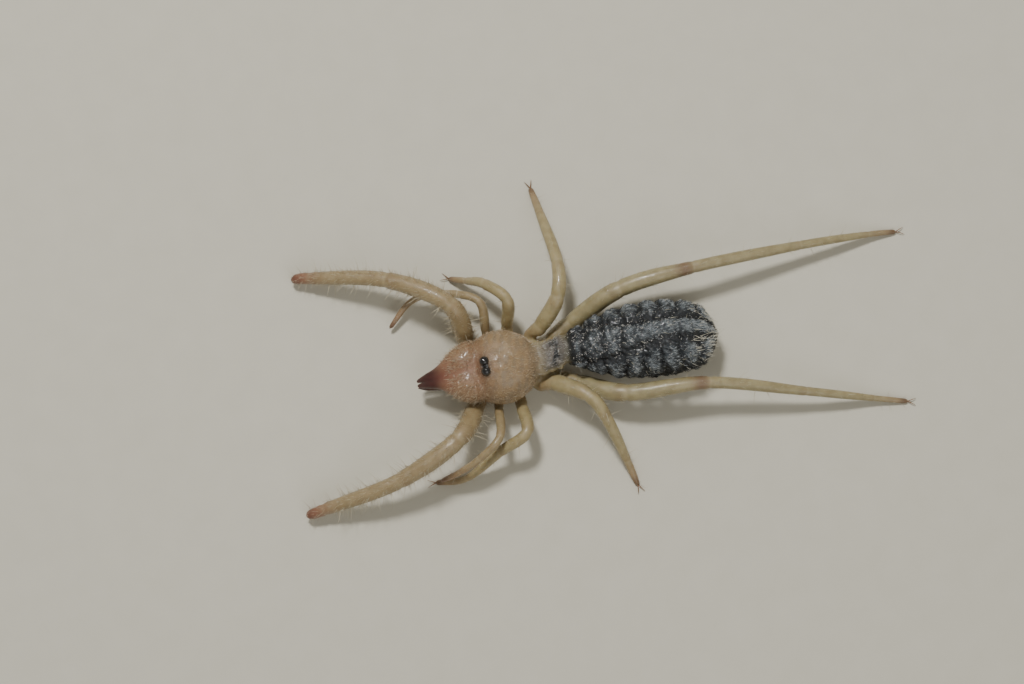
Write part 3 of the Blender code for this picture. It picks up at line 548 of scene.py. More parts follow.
def limb(kind, side_name):
    rows = np.array(LIMBS[kind, side_name])
    joints, base = rows[:, :3], rows[:, 3]
    padded = kind == "palp"
    lengths = np.linalg.norm(np.diff(joints, axis=0), axis=1)
    t = np.concatenate([np.linspace(k, k + 1, max(6, round(length * RINGS_PER_MM)), endpoint=False)
                        for k, length in enumerate(lengths)] + [[len(lengths) - 1e-6]])
    centres, along = path_at(joints, t)
    distance = np.concatenate([[0], np.cumsum(np.linalg.norm(np.diff(centres, axis=0), axis=1))])
    k = np.clip(t.astype(int), 0, len(lengths) - 1)
    f = t - k
    radii = base[k] + (base[k + 1] - base[k]) * f + np.array(SWELL[kind])[k] * np.sin(math.pi * f)
    band, soft = np.zeros_like(t), np.zeros_like(t)
    for joint in range(1, len(lengths)):
        at = np.interp(joint, t, distance)
        size = base[joint]
        radii *= 1 + JOINT_SWELL * bell(distance, at - 0.9 * size, 0.8 * size)
        radii *= 1 - JOINT_GROOVE * bell(distance, at, 0.16 * size + 0.06)
        radii *= 1 + JOINT_KNUCKLE * bell(distance, at + 0.7 * size, 0.5 * size)
        strength, reach_back = (0.8, 1.5) if (kind, joint) == ("leg_4", 4) else (0.15, 0.8)
        band = np.maximum(band, strength * bell(distance, at - reach_back * size, reach_back * size))
        soft = np.maximum(soft, bell(distance, at, 0.16 * size + 0.03))
    tip = distance[-1] - distance
    blunt = 0.42 if padded else 0.3
    radii *= np.sqrt(np.clip(1 - (1 - np.clip(tip / (blunt * 1.2), 0, 1)) ** 2, 0.004, 1))
    overshoot = along * (0.3 * base[-1] * (1 - np.clip(tip / 0.6, 0, 1)))[:, None]
    rings = tube_rings(centres + overshoot, along, radii, LIMB_SIDES)
    rings[..., 2] = np.maximum(rings[..., 2], 0.0)
    below = 0.5 - 0.5 * np.sin(angles(LIMB_SIDES))[None, :]
    clear = step(distance, 1.6, 3.2)[:, None]
    fur = LIMB_FUR[kind] * clear * (0.55 + 0.45 * below) * (1 - soft[:, None])
    reach = 1.0 + 0.45 * below * step(tip, 1.0, 4.0)[:, None]
    horn = (0.3 if padded else 0.5) * (1 - step(tip, 0.35, 1.3))
    rose = (0.65 if padded else 0.15) * (1 - step(tip, 0.5, 3.2))
    edge = np.abs(np.cos(angles(LIMB_SIDES)))[None, :]
    lattice(f"{kind}_{side_name}", rings, limb_tiles[kind, side_name], fur=fur, fur_length=reach,
            fringe=LIMB_FUR[kind] * clear * (0.25 + 0.75 * edge**2) * (1 - soft[:, None]),
            band=band[:, None], soft=0.3 * soft[:, None], horn=horn[:, None], rose=rose[:, None],
            ashen=LIMB_GREY[kind], blush=LIMB_BLUSH[kind] + 0.3 * (1 - step(tip, 1.0, 5.0))[:, None]
            + 0.3 * (1 - step(distance, 2.0, 5.0))[:, None])


for kind, side_name in LIMBS:
    limb(kind, side_name)
print(len(parts), "lattices,", sum(len(p.data.polygons) for p in parts.values()), "faces")

# %% [markdown]
# One skin: all lattices are joined in a Boolean union, which cuts away whatever lies inside
# another. The union can lose the marks, so each point of the result takes them from the nearest
# point of the lattices. Where a lattice point is buried, its hair is switched off.

# %% Join the skin
def join_skin():
    group = bpy.data.collections.new("lattices")
    bpy.context.scene.collection.children.link(group)
    base = parts["core"]
    for name, part in parts.items():
        if part is not base:
            group.objects.link(part)
    union = base.modifiers.new("union", "BOOLEAN")
    union.operation = "UNION"
    union.operand_type = "COLLECTION"
    union.collection = group
    union.solver = "MANIFOLD"
    graph = bpy.context.evaluated_depsgraph_get()
    mesh = bpy.data.meshes.new_from_object(base.evaluated_get(graph))
    base.modifiers.clear()
    bpy.data.collections.remove(group)
    return mesh


def read_points(mesh):
    points = np.empty(len(mesh.vertices) * 3)
    mesh.vertices.foreach_get("co", points)
    return points.reshape(-1, 3)


def read_mark(mesh, name):
    values = np.empty(len(mesh.vertices))
    mesh.attributes[name].data.foreach_get("value", values)
    return values


skin_mesh = join_skin()
skin_mesh.name = "skin"
print("the joined skin has", len(skin_mesh.polygons), "faces")

# %% Marks from the lattices
BURIED_MM = 0.02


def search_tree(points):
    tree = KDTree(len(points))
    for index, point in enumerate(points):
        tree.insert(point, index)
    tree.balance()
    return tree


def carry_marks(mesh):
    """Gives each point the marks of the nearest lattice point, and returns how far that is."""
    sources = [part.data for part in parts.values()]
    tree = search_tree(np.vstack([read_points(source) for source in sources]))
    found = [tree.find(point)[1:] for point in read_points(mesh)]
    nearest = np.array([index for index, _ in found])
    for old in ("lie", "fur_length", *COATS, *MARKS):
        if old in mesh.attributes:
            mesh.attributes.remove(mesh.attributes[old])
    for mark in MARKS:
        values = np.concatenate([read_mark(source, mark) for source in sources])[nearest]
        mesh.attributes.new(mark, "FLOAT", "POINT").data.foreach_set("value", values)
    return np.array([distance for _, distance in found])


def bury_hair(mesh):
    """No hair grows where a lattice lies inside the joined skin. Returns how many points that takes."""
    count = 0
    shell = BVHTree.FromPolygons([v.co for v in mesh.vertices], [p.vertices for p in mesh.polygons])
    for part in parts.values():
        points = read_points(part.data)
        hairy = sum(read_mark(part.data, coat) for coat in COATS) > 0
        buried = [index for index in np.nonzero(hairy)[0]
                  if shell.find_nearest(points[index])[3] > BURIED_MM * MM]
        count += len(buried)
        for coat in COATS:
            values = read_mark(part.data, coat)
            values[buried] = 0.0
            part.data.attributes[coat].data.foreach_set("value", values)
    return count


strangeness = carry_marks(skin_mesh)
print(bury_hair(skin_mesh), "points of the lattices are buried and stay bare")

# %% [markdown]
# A union leaves a hard crease wherever two lattices crossed, which soft tissue never shows. The
# points on a crease are new: no lattice point lies there. So the points near them are averaged
# with their neighbours eighty times, and their marks as well, which melts seam and colour.

# %% Melt the seams
NEW_POINT_MM = 0.0005
MELT_NEAR, MELT_FAR = 0.2, 0.85
MELT_ROUNDS = 80


def melt_seams(mesh):
    points = read_points(mesh)
    creases = points[strangeness > NEW_POINT_MM * MM]
    tree = search_tree(creases)
    away = np.array([tree.find(point)[2] for point in points]) / MM
    share = 0.5 * (1 - step(away, MELT_NEAR, MELT_FAR))[:, None]
    fields = np.column_stack([points] + [read_mark(mesh, mark) for mark in MARKS])
    ends = np.empty(len(mesh.edges) * 2, int)
    mesh.edges.foreach_get("vertices", ends)
    here, there = np.r_[ends[0::2], ends[1::2]], np.r_[ends[1::2], ends[0::2]]
    count = np.bincount(here, minlength=len(points))[:, None]
    for _ in range(MELT_ROUNDS):
        sums = [np.bincount(here, field[there], len(points)) for field in fields.T]
        fields += share * (np.column_stack(sums) / count - fields)
    mesh.vertices.foreach_set("co", fields[:, :3].ravel())
    for column, mark in enumerate(MARKS, 3):
        mesh.attributes[mark].data.foreach_set("value", fields[:, column])
    print(len(creases), "points on creases, and", int((share > 0).sum()), "melted")


melt_seams(skin_mesh)

# %% [markdown]
# Materials and bristles are both built from nodes. One helper adds a node: its settings by name,
# and each input either a number or another node's socket. Colours are written as sRGB hex, as
# a paint chart gives them, and one function turns them to linear light.

# %% Node and colour helpers
def add(tree, kind, inputs=None, **settings):
    """Adds a node with its settings; inputs maps a socket's name or index to a value or a socket."""
    made = tree.nodes.new(kind)
    for key, value in settings.items():
        setattr(made, key, value)
    for key, value in (inputs or {}).items():
        named = [s for s in made.inputs if s.enabled and s.name == key]
        target = made.inputs[key] if isinstance(key, int) else named[0]
        if isinstance(value, bpy.types.NodeSocket):
            tree.links.new(value, target)
        else:
            target.default_value = value
    return made


def out(made, name=None):
    """The first output that is in use, or the one with this name."""
    return next(s for s in made.outputs if s.enabled and name in (None, s.name))


def colour(text):
    """An sRGB hex colour as linear RGBA."""
    channels = [int(text[i:i + 2], 16) / 255 for i in (1, 3, 5)]
    linear = [c / 12.92 if c <= 0.04045 else ((c + 0.055) / 1.055) ** 2.4 for c in channels]
    return (*linear, 1.0)


def blank_material(name, **sockets):
    made = bpy.data.materials.new(name)
    made.use_nodes = True
    shader = made.node_tree.nodes["Principled BSDF"]
    for key, value in sockets.items():
        shader.inputs[key.replace("_", " ")].default_value = value
    return made, made.node_tree, shader


# %% [markdown]
# The skin is waxy cuticle, thin enough on the limbs for light to soak in. Its colour starts as
# straw tan, and each mark pulls it towards its own tint: pink on the jaws, red-brown horn at the
# tips, brown bands, pale soft joints, grey at the waist and slate on the abdomen. On the abdomen
# the slate is partly silver hair and partly painted light on the ridges, with painted shade left
# in the folds; the pale specks on the head are painted glints. Fine mottling
# and a pebbled bump of about a twentieth of a millimetre keep it from looking moulded.

# %% Skin material
PEBBLE_MM = 0.06
PIMPLE_MM = 0.28
MOTTLE_MM = 0.9
SOAK_MM = 0.6


def mark_value(tree, name):
    return out(add(tree, "ShaderNodeAttribute", attribute_name=name), "Fac")


def blend_colour(tree, factor, low, high):
    """Mixes two colours, or a colour and a socket, by a factor."""
    mix = add(tree, "ShaderNodeMix", {"Factor": factor, "A": low, "B": high}, data_type="RGBA")
    return out(mix, "Result")


def noise_at(tree, size_mm, detail=2.0):
    """Noise on object coordinates with features of about this size."""
    where = out(add(tree, "ShaderNodeTexCoord"), "Object")
    made = add(tree, "ShaderNodeTexNoise", {"Vector": where, "Scale": 1 / (size_mm * MM),
                                            "Detail": detail, "Roughness": 0.55})
    return out(made, "Fac")


def skin_colour(tree):
    """The markings, with the abdomen's painted light and shade, shared by the skin and its hair."""
    mottle = add(tree, "ShaderNodeMapRange", {"Value": noise_at(tree, MOTTLE_MM), "From Min": 0.35,
                                              "From Max": 0.65})
    tone = blend_colour(tree, out(mottle), colour("#978a60"), colour("#ab9e73"))
    # The slate grey at the end of the list is silver hair's tone, and also painted light on the abdomen's
    # ridges.
    for mark, tint in (("blush", "#8b684c"), ("ashen", "#6c655a"), ("band", "#70533d"),
                       ("soft", "#b5a784"), ("rose", "#7c4234"), ("horn", "#3f1611"),
                       ("dusk", "#191c1e"), ("frost", "#596064")):
        tone = blend_colour(tree, mark_value(tree, mark), tone, colour(tint))
    return tone


def cuticle():
    made, tree, shader = blank_material("cuticle_waxy_arthropod", IOR=1.45, Coat_Weight=0.5,
                                        Coat_Roughness=0.08, Subsurface_Weight=0.45,
                                        Subsurface_Scale=SOAK_MM * MM)
    shader.inputs["Subsurface Radius"].default_value = (1.0, 0.65, 0.4)
    where = out(add(tree, "ShaderNodeTexCoord"), "Object")
    pores = add(tree, "ShaderNodeTexVoronoi", {"Vector": where, "Scale": 1 / (PIMPLE_MM * MM)})
    # Pale specks on the pimples of the head and jaws are painted glints of tiny bristles.
    painted_glint_speck = add(tree, "ShaderNodeMapRange", {"Value": out(pores, "Distance"), "From Min": 0.1,
                                             "From Max": 0.35, "To Min": 0.45, "To Max": 0.0})
    on_head = add(tree, "ShaderNodeMath", {0: out(painted_glint_speck), 1: mark_value(tree, "blush")},
                  operation="MULTIPLY")
    with_painted_glints = blend_colour(tree, out(on_head), skin_colour(tree), colour("#c4a888"))
    tree.links.new(with_painted_glints, shader.inputs["Base Color"])
    dull = add(tree, "ShaderNodeMapRange", {"Value": mark_value(tree, "dusk"), "To Min": 0.5,
                                            "To Max": 0.65})
    tree.links.new(out(dull), shader.inputs["Roughness"])
    pebble = noise_at(tree, PEBBLE_MM, 3.0)
    fine = add(tree, "ShaderNodeBump", {"Height": pebble, "Strength": 0.4, "Distance": 0.02 * MM})
    pimple = add(tree, "ShaderNodeMapRange", {"Value": out(pores, "Distance"), "From Max": 0.45,
                                              "To Min": 1.0, "To Max": 0.0})
    coarse = add(tree, "ShaderNodeBump", {"Height": out(pimple), "Strength": 1.0, "Distance": 0.045 * MM,
                                          "Normal": out(fine)})
    tree.links.new(out(fine), shader.inputs["Normal"])
    tree.links.new(out(coarse), shader.inputs["Coat Normal"])
    return made


skin_finish = cuticle()
skin = placed("skin", skin_mesh)
skin_mesh.materials.clear()
skin_mesh.materials.append(skin_finish)
skin_mesh.shade_smooth()
FLESH = [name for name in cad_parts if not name.startswith(("eye", "chelicera_finger"))]
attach(skin, "root")
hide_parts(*FLESH)
print("the skin stands for", len(FLESH), "nodes")

# %% [markdown]
# The eyes are two domes of clear, black cuticle. They must stay glossy, so they get a smooth
# sphere of their own in the seat that the shield leaves for them.

# %% Eyes
EYE_DIMPLE_MM = 0.3
EYE_SINK = 0.02


def eye(name, side):
    work = bmesh.new()
    bmesh.ops.create_uvsphere(work, u_segments=40, v_segments=24, radius=EYE_RADIUS * MM)
    mesh = bpy.data.meshes.new(f"eye_dome_{name}")
    centre = ORIGIN + np.array([0, side * EYE_SPREAD, EYE_HEIGHT - EYE_SINK]) * MM
    bmesh.ops.translate(work, verts=work.verts, vec=centre)
    work.to_mesh(mesh)
    work.free()
    mesh.materials.append(eye_finish)
    mesh.shade_smooth()
    made = placed(f"eye_dome_{name}", mesh)
    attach(made, "root")
    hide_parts(f"eye_{name}")


def eye_material():
    made, tree, shader = blank_material("eye_black_cornea", Roughness=0.05, IOR=1.5, Coat_Weight=0.9,
                                        Coat_Roughness=0.05)
    depth = noise_at(tree, 0.4)
    wet = add(tree, "ShaderNodeBump", {"Height": noise_at(tree, EYE_DIMPLE_MM), "Strength": 1.0,
                                       "Distance": 0.07 * MM})
    tree.links.new(out(wet), shader.inputs["Coat Normal"])
    tree.links.new(blend_colour(tree, depth, colour("#060607"), colour("#17130f")),
                   shader.inputs["Base Color"])
    return made


eye_finish = eye_material()
for side_name, side_sign in SIDES.items():
    eye(side_name, side_sign)
print("each eye is", 2 * EYE_RADIUS, "mm across")

# %% [markdown]
# The moving lower fingers and the claws are solid horn: dark red-brown, polished, and a little
# lighter where it is thin. A finger is a tube that hooks upwards, with a row of teeth, and each
# walking leg ends in two slender claws that spread on the ground.

# %% Horn material
def horn_material(name, thin, thick, grain_mm):
    made, tree, shader = blank_material(name, Roughness=0.22, IOR=1.54, Coat_Weight=0.3,
                                        Coat_Roughness=0.1)
    grain = noise_at(tree, grain_mm, 4.0)
    tree.links.new(blend_colour(tree, grain, colour(thin), colour(thick)), shader.inputs["Base Color"])
    rough = add(tree, "ShaderNodeMapRange", {"Value": grain, "To Min": 0.16, "To Max": 0.34})
    tree.links.new(out(rough), shader.inputs["Roughness"])
    return made


def plain_mesh(name, shapes, material):
    """One object from closed shapes, each a pair of points in body millimetres and faces."""
    points, faces = [], []
    for shape_points, shape_faces in shapes:
        offset = len(points)
        points += [tuple(ORIGIN + np.asarray(p) * MM) for p in shape_points]
        faces += [[offset + i for i in face] for face in shape_faces]
    mesh = bpy.data.meshes.new(name)
    mesh.from_pydata(points, [], faces)
    point_outwards(mesh)
    mesh.materials.append(material)
    mesh.shade_smooth()
    return placed(name, mesh)


def skin_of(rings):
    """Points and faces of a closed tube over rings, with a point at each end."""
    n, m = rings.shape[:2]
    points = np.vstack([rings.reshape(-1, 3), rings[0].mean(0), rings[-1].mean(0)])
    faces = ring_faces(n, m)[2]
    faces += [[(j + 1) % m, j, n * m] for j in range(m)]
    faces += [[(n - 1) * m + j, (n - 1) * m + (j + 1) % m, n * m + 1] for j in range(m)]
    return points, faces


def cone(root, tip, radius, sides=12, rings=7, lean=(0, 0, 0)):
    """A tooth: a cone that leans as it rises, with a blunt end."""
    root, tip = np.asarray(root, float), np.asarray(tip, float)
    f = np.linspace(0, 1, rings)
    centres = root + (tip - root) * f[:, None] + np.asarray(lean) * (f**2)[:, None]
    along = np.gradient(centres, axis=0) + [1e-4, 0, 0]
    along /= np.linalg.norm(along, axis=1, keepdims=True)
    size = radius * np.sqrt(np.clip(1 - f**1.6, 0.02, 1))
    return skin_of(tube_rings(centres, along, size, sides, upright=(0, 1.0, 0)))


# %% Lower fingers and teeth
FINGER_PATH = [(-3.1, 0, 2.75), (-3.45, 0, 2.55), (-4.3, 0, 2.35), (-5.3, 0, 2.25), (-6.2, 0, 2.3),
               (-6.9, 0, 2.6)]
FINGER_RADII = [(0, 0.42), (1, 0.5), (2, 0.47), (3, 0.4), (4, 0.28), (5, 0.06)]
FINGER_RINGS = 60
FINGER_TEETH = ((2.1, 0.2, 0.13), (2.55, 0.32, 0.17), (3.0, 0.18, 0.11), (3.45, 0.26, 0.13))
UPPER_TEETH = (0.3, 0.2, 0.34, 0.22, 0.28, 0.16)
TOOTH_SPACING = 0.42
horn_finish = horn_material("horn_dark_red_brown", "#55281b", "#30140e", 0.5)


def finger(name, side):
    t = np.linspace(0, 5 - 1e-6, FINGER_RINGS)
    centres, along = path_at(FINGER_PATH, t)
    offset = 0.7 - 0.08 * np.clip(t - 1, 0, 4)
    centres[:, 1] = side * offset
    rings = tube_rings(centres, along, smooth(FINGER_RADII, t), 28, flatten=0.9)
    shapes = [skin_of(rings)]
    for at, height, width in FINGER_TEETH:
        row = int(at / 5 * (FINGER_RINGS - 1))
        root = centres[row] + [0, 0, smooth(FINGER_RADII, t)[row] - 0.12]
        shapes.append(cone(root, root + [0, 0, height + 0.12], width, lean=(-0.05, 0, 0)))
    made = plain_mesh(f"jaw_finger_{name}", shapes, horn_finish)
    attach(made, "root")
    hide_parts(f"chelicera_finger_{name}")


def upper_teeth():
    shapes = []
    for side in SIDES.values():
        for k, height in enumerate(UPPER_TEETH):
            x = -4.15 - TOOTH_SPACING * k
            low = smooth(JAW_BOTTOM, x)
            y = side * smooth(JAW_OUTER, x) / 2
            shapes.append(cone((x + 0.04, y, low + 0.12), (x, y, low - height), 0.15, lean=(-0.06, 0, 0)))
    made = plain_mesh("jaw_teeth", shapes, horn_finish)
    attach(made, "root")


for side_name, side_sign in SIDES.items():
    finger(side_name, side_sign)
upper_teeth()
print("each jaw has", len(UPPER_TEETH), "teeth above and", len(FINGER_TEETH), "below")

# %% Claws
CLAW_LENGTH = 0.95
CLAW_SPREAD = math.radians(24)
CLAWLESS = ("palp", "leg_1")
claw_finish = horn_material("horn_claw_amber", "#9a6a3c", "#4a2616", 0.25)


def claws():
    shapes = []
    for (kind, _), rows in LIMBS.items():
        if kind in CLAWLESS:
            continue
        tip, before = np.array(rows[-1][:3]), np.array(rows[-2][:3])
        ahead = (tip - before) * [1, 1, 0]
        ahead /= np.linalg.norm(ahead)
        for turn in (-CLAW_SPREAD, CLAW_SPREAD):
            cos, sin = math.cos(turn), math.sin(turn)
            heading = np.array([cos * ahead[0] - sin * ahead[1], sin * ahead[0] + cos * ahead[1], 0])
            route = [tip - 0.2 * heading, tip + 0.4 * CLAW_LENGTH * heading + [0, 0, 0.16],
                     tip + 0.8 * CLAW_LENGTH * heading + [0, 0, 0.08],
                     tip + CLAW_LENGTH * heading - [0, 0, 0.1]]
            t = np.linspace(0, 3 - 1e-6, 22)
            centres, along = path_at(route, t)
            radii = 0.085 * (1 - 0.29 * t)
            rings = tube_rings(centres, along, radii, 12, flatten=0.7)
            rings[..., 2] = np.maximum(rings[..., 2], 0.0)
            shapes.append(skin_of(rings))
    made = plain_mesh("claws", shapes, claw_finish)
    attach(made, "root")


claws()
print("two claws of", CLAW_LENGTH, "mm stand on each of six feet")

# %% [markdown]
# Under the base of each hind leg hangs a row of five little racquets (malleoli), which smell the
# ground. Each is a thin stem that opens into a flat fan.

# %% Racquets under the hind legs
RACQUETS_AT = (0.2, 0.5, 0.8, 1.2, 1.5)
RACQUET_LENGTH = 0.9
RACQUET_WIDTHS = ((0.0, 0.12), (0.4, 0.12), (0.6, 0.2), (0.75, 0.45), (0.9, 0.75), (0.97, 0.9), (1.0, 0.85))


def malleoli():
    shapes = []
    for side_name in SIDES:
        joints = np.array(LIMBS["leg_4", side_name])[:, :3]
        for t in RACQUETS_AT:
            centre, along = path_at(joints, np.array([t]))
            flat = along[0] * [1, 1, 0]
            flat /= np.linalg.norm(flat)
            lean = np.cross(flat, [0, 0, 1.0])
            root = centre[0] - [0, 0, 0.35]
            rings = []
            a = angles(16)[:, None]
            for down, wide in RACQUET_WIDTHS:
                middle = root - [0, 0, down * RACQUET_LENGTH]
                rings.append(middle + 0.3 * wide * np.cos(a) * flat + 0.06 * np.sin(a) * lean)
            shapes.append(skin_of(np.array(rings)))
    made = plain_mesh("malleoli", shapes, skin_finish)
    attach(made, "root")


malleoli()
print(2 * len(RACQUETS_AT), "racquets hang under the hind legs")

# %% [markdown]
# Hair is where the work is repeated most, so Geometry Nodes do it. Points are scattered over a
# lattice, thicker where its "fur" mark says so. Each point gets one bristle: a slim three-sided
# cone with a slight bend. Its direction lies between the skin's normal and the lie of the coat,
# with some wildness. The root's spot on the unrolled skin is kept as a map named OFBake, each
# bristle taking a patch 0.003 across, so that a baked colour is the colour at its root.

# %% The bristle tree
HAIR_PATCH = 0.003
HAIR_ABOVE_GROUND = 0.02
KEPT_BY_HAIR = (*MARKS, "OFBake", "shade", "material_index", "position", ".edge_verts", ".corner_vert",
                ".corner_edge", "sharp_face")


def bristle_tree():
    tree = bpy.data.node_groups.new("bristles", "GeometryNodeTree")
    face = tree.interface
    face.new_socket("Geometry", in_out="INPUT", socket_type="NodeSocketGeometry")
    for name, default in (("Per square mm", 10.0), ("Length", 0.5), ("Slimness", 0.03), ("Lean", 0.5),
                          ("Wildness", 0.2), ("Curl", 0.15)):
        face.new_socket(name, in_out="INPUT", socket_type="NodeSocketFloat").default_value = default
    for name, kind in (("Steps", "Int"), ("Where", "String"), ("Seed", "Int"), ("Finish", "Material")):
        face.new_socket(name, in_out="INPUT", socket_type=f"NodeSocket{kind}")
    face.new_socket("Geometry", in_out="OUTPUT", socket_type="NodeSocketGeometry")
    given = add(tree, "NodeGroupInput").outputs

    def made(kind, inputs=None, **settings):
        return out(add(tree, kind, inputs, **settings))

    def sums(operation, a, b):
        return made("ShaderNodeMath", {0: a, 1: b}, operation=operation)

    def attribute(name, kind="FLOAT"):
        return made("GeometryNodeInputNamedAttribute", {"Name": name}, data_type=kind)

    def store(geometry, name, value, kind, domain="POINT"):
        return made("GeometryNodeStoreNamedAttribute", {"Geometry": geometry, "Name": name, "Value": value},
                    data_type=kind, domain=domain)

    def chance(low, high, offset):
        seed = sums("ADD", given["Seed"], float(offset))
        return made("FunctionNodeRandomValue", {"Min": low, "Max": high, "Seed": seed}, data_type="FLOAT")

    def parted(vector):
        return add(tree, "ShaderNodeSeparateXYZ", {"Vector": vector}).outputs

    cone_mesh = made("GeometryNodeMeshCone",
                     {"Vertices": 3, "Side Segments": given["Steps"], "Radius Top": 0.0,
                      "Radius Bottom": 1.0, "Depth": 1.0}, fill_type="TRIANGLE_FAN")
    straight = made("GeometryNodeInputPosition")
    strand = store(cone_mesh, "strand", straight, "FLOAT_VECTOR")
    corner, thick = parted(straight), given["Slimness"]
    bent_x = sums("ADD", sums("MULTIPLY", corner["X"], thick),
                  sums("MULTIPLY", given["Curl"], sums("POWER", corner["Z"], 2.0)))
    bent = made("ShaderNodeCombineXYZ", {"X": bent_x, "Y": sums("MULTIPLY", corner["Y"], thick),
                                         "Z": corner["Z"]})
    bristle = made("GeometryNodeSetPosition", {"Geometry": strand, "Position": bent})

    density = sums("MULTIPLY", sums("MULTIPLY", given["Per square mm"], 1e6), attribute(given["Where"]))
    scattered = add(tree, "GeometryNodeDistributePointsOnFaces",
                    {"Mesh": given["Geometry"], "Density": density, "Seed": given["Seed"]},
                    distribute_method="RANDOM")
    roots = store(out(scattered, "Points"), "shade", chance(0.0, 1.0, 1), "FLOAT")
    lie = attribute("lie", "FLOAT_VECTOR")
    aim = made("ShaderNodeMix", {"Factor": given["Lean"], "A": out(scattered, "Normal"), "B": lie},
               data_type="VECTOR")
    stray = made("FunctionNodeRandomValue", {"Min": (-1, -1, -1), "Max": (1, 1, 1), "Seed": given["Seed"]},
                 data_type="FLOAT_VECTOR")
    loose = made("ShaderNodeVectorMath", {0: stray, "Scale": given["Wildness"]}, operation="SCALE")
    towards = made("ShaderNodeVectorMath", {0: aim, 1: loose}, operation="ADD")
    heading = made("ShaderNodeVectorMath", {0: towards}, operation="NORMALIZE")
    upright = made("FunctionNodeAlignRotationToVector", {"Vector": heading}, axis="Z")
    turned = made("FunctionNodeAlignRotationToVector", {"Rotation": upright, "Vector": lie}, axis="X",
                  pivot_axis="Z")
    size = sums("MULTIPLY", sums("MULTIPLY", given["Length"], MM),
                sums("MULTIPLY", attribute("fur_length"), chance(0.55, 1.25, 2)))
    grown = made("GeometryNodeInstanceOnPoints",
                 {"Points": roots, "Instance": bristle, "Rotation": turned, "Scale": size})
    loose_hair = made("GeometryNodeRealizeInstances", {"Geometry": grown})
    place = parted(made("GeometryNodeInputPosition"))
    above = made("ShaderNodeCombineXYZ", {"X": place["X"], "Y": place["Y"],
                                          "Z": sums("MAXIMUM", place["Z"], HAIR_ABOVE_GROUND * MM)})
    real = made("GeometryNodeSetPosition", {"Geometry": loose_hair, "Position": above})
    spot = made("ShaderNodeVectorMath",
                {0: attribute("strand", "FLOAT_VECTOR"), 1: (HAIR_PATCH / 2, 0, 0),
                 2: attribute("place", "FLOAT_VECTOR")}, operation="MULTIPLY_ADD")
    rise = parted(attribute("strand", "FLOAT_VECTOR"))
    shift = made("ShaderNodeCombineXYZ", {"Y": sums("MULTIPLY", rise["Z"], HAIR_PATCH)})
    patch = made("ShaderNodeVectorMath", {0: spot, 1: shift}, operation="ADD")
    mapped = store(real, "OFBake", patch, "FLOAT2", "CORNER")
    smooth_faces = made("GeometryNodeSetShadeSmooth", {"Geometry": mapped})
    dressed = made("GeometryNodeSetMaterial", {"Geometry": smooth_faces, "Material": given["Finish"]})
    add(tree, "NodeGroupOutput", {"Geometry": dressed})
    return tree


bristles = bristle_tree()
print("the bristle tree has", len(bristles.nodes), "nodes")

# %% [markdown]
# Hair takes the skin's own colour at its root, so that skin and coat carry the same markings,
# and then pales towards straw or silver. A random shade makes neighbours differ.

# %% Hair materials
def hair_material(name, pale, strength, roughness, mark=None):
    """Hair that pales by its shade, and where a mark is given, only where that mark is strong."""
    made, tree, shader = blank_material(name, Roughness=roughness, IOR=1.55)
    under = skin_colour(tree)
    vary = add(tree, "ShaderNodeMapRange", {"Value": mark_value(tree, "shade"), "To Min": strength[0],
                                            "To Max": strength[1]})
    share = out(vary)
    if mark:
        near = add(tree, "ShaderNodeMapRange", {"Value": mark_value(tree, mark), "From Min": 0.05,
                                                "From Max": 0.7, "To Min": 0.05, "To Max": 1.0})
        share = out(add(tree, "ShaderNodeMath", {0: share, 1: out(near)}, operation="MULTIPLY"))
    tree.links.new(blend_colour(tree, share, under, colour(pale)), shader.inputs["Base Color"])
    return made


# Slate hair pales only where the silver mark is strong: painted light on the ridges, painted shade in the
# folds.
slate_hair = hair_material("hair_slate_grey", "#9ba3a6", (-0.15, 0.95), 0.3, "frost")
silver_hair = hair_material("hair_silver", "#e0e6e6", (0.25, 1.0), 0.2)
cream_hair = hair_material("hair_cream", "#dad5cc", (0.75, 1.0), 0.35)
gold_hair = hair_material("hair_pale_gold", "#eae4cf", (0.75, 1.0), 0.25)
straw_hair = hair_material("hair_pale_straw", "#e2d8bc", (0.5, 1.0), 0.25)
rose_hair = hair_material("hair_rose_gold", "#e0c6a4", (0.35, 0.9), 0.25)

# %% [markdown]
# Each coat is one run of the bristle tree over some lattices. They are first copied into one
# mesh. The result becomes a plain mesh, and the modifier goes away with its copy. A row of the
# table is a coat: its name, lattices, finish and slot, and then the tree's inputs in the order
# of HAIR_INPUTS. Lengths are in millimetres.

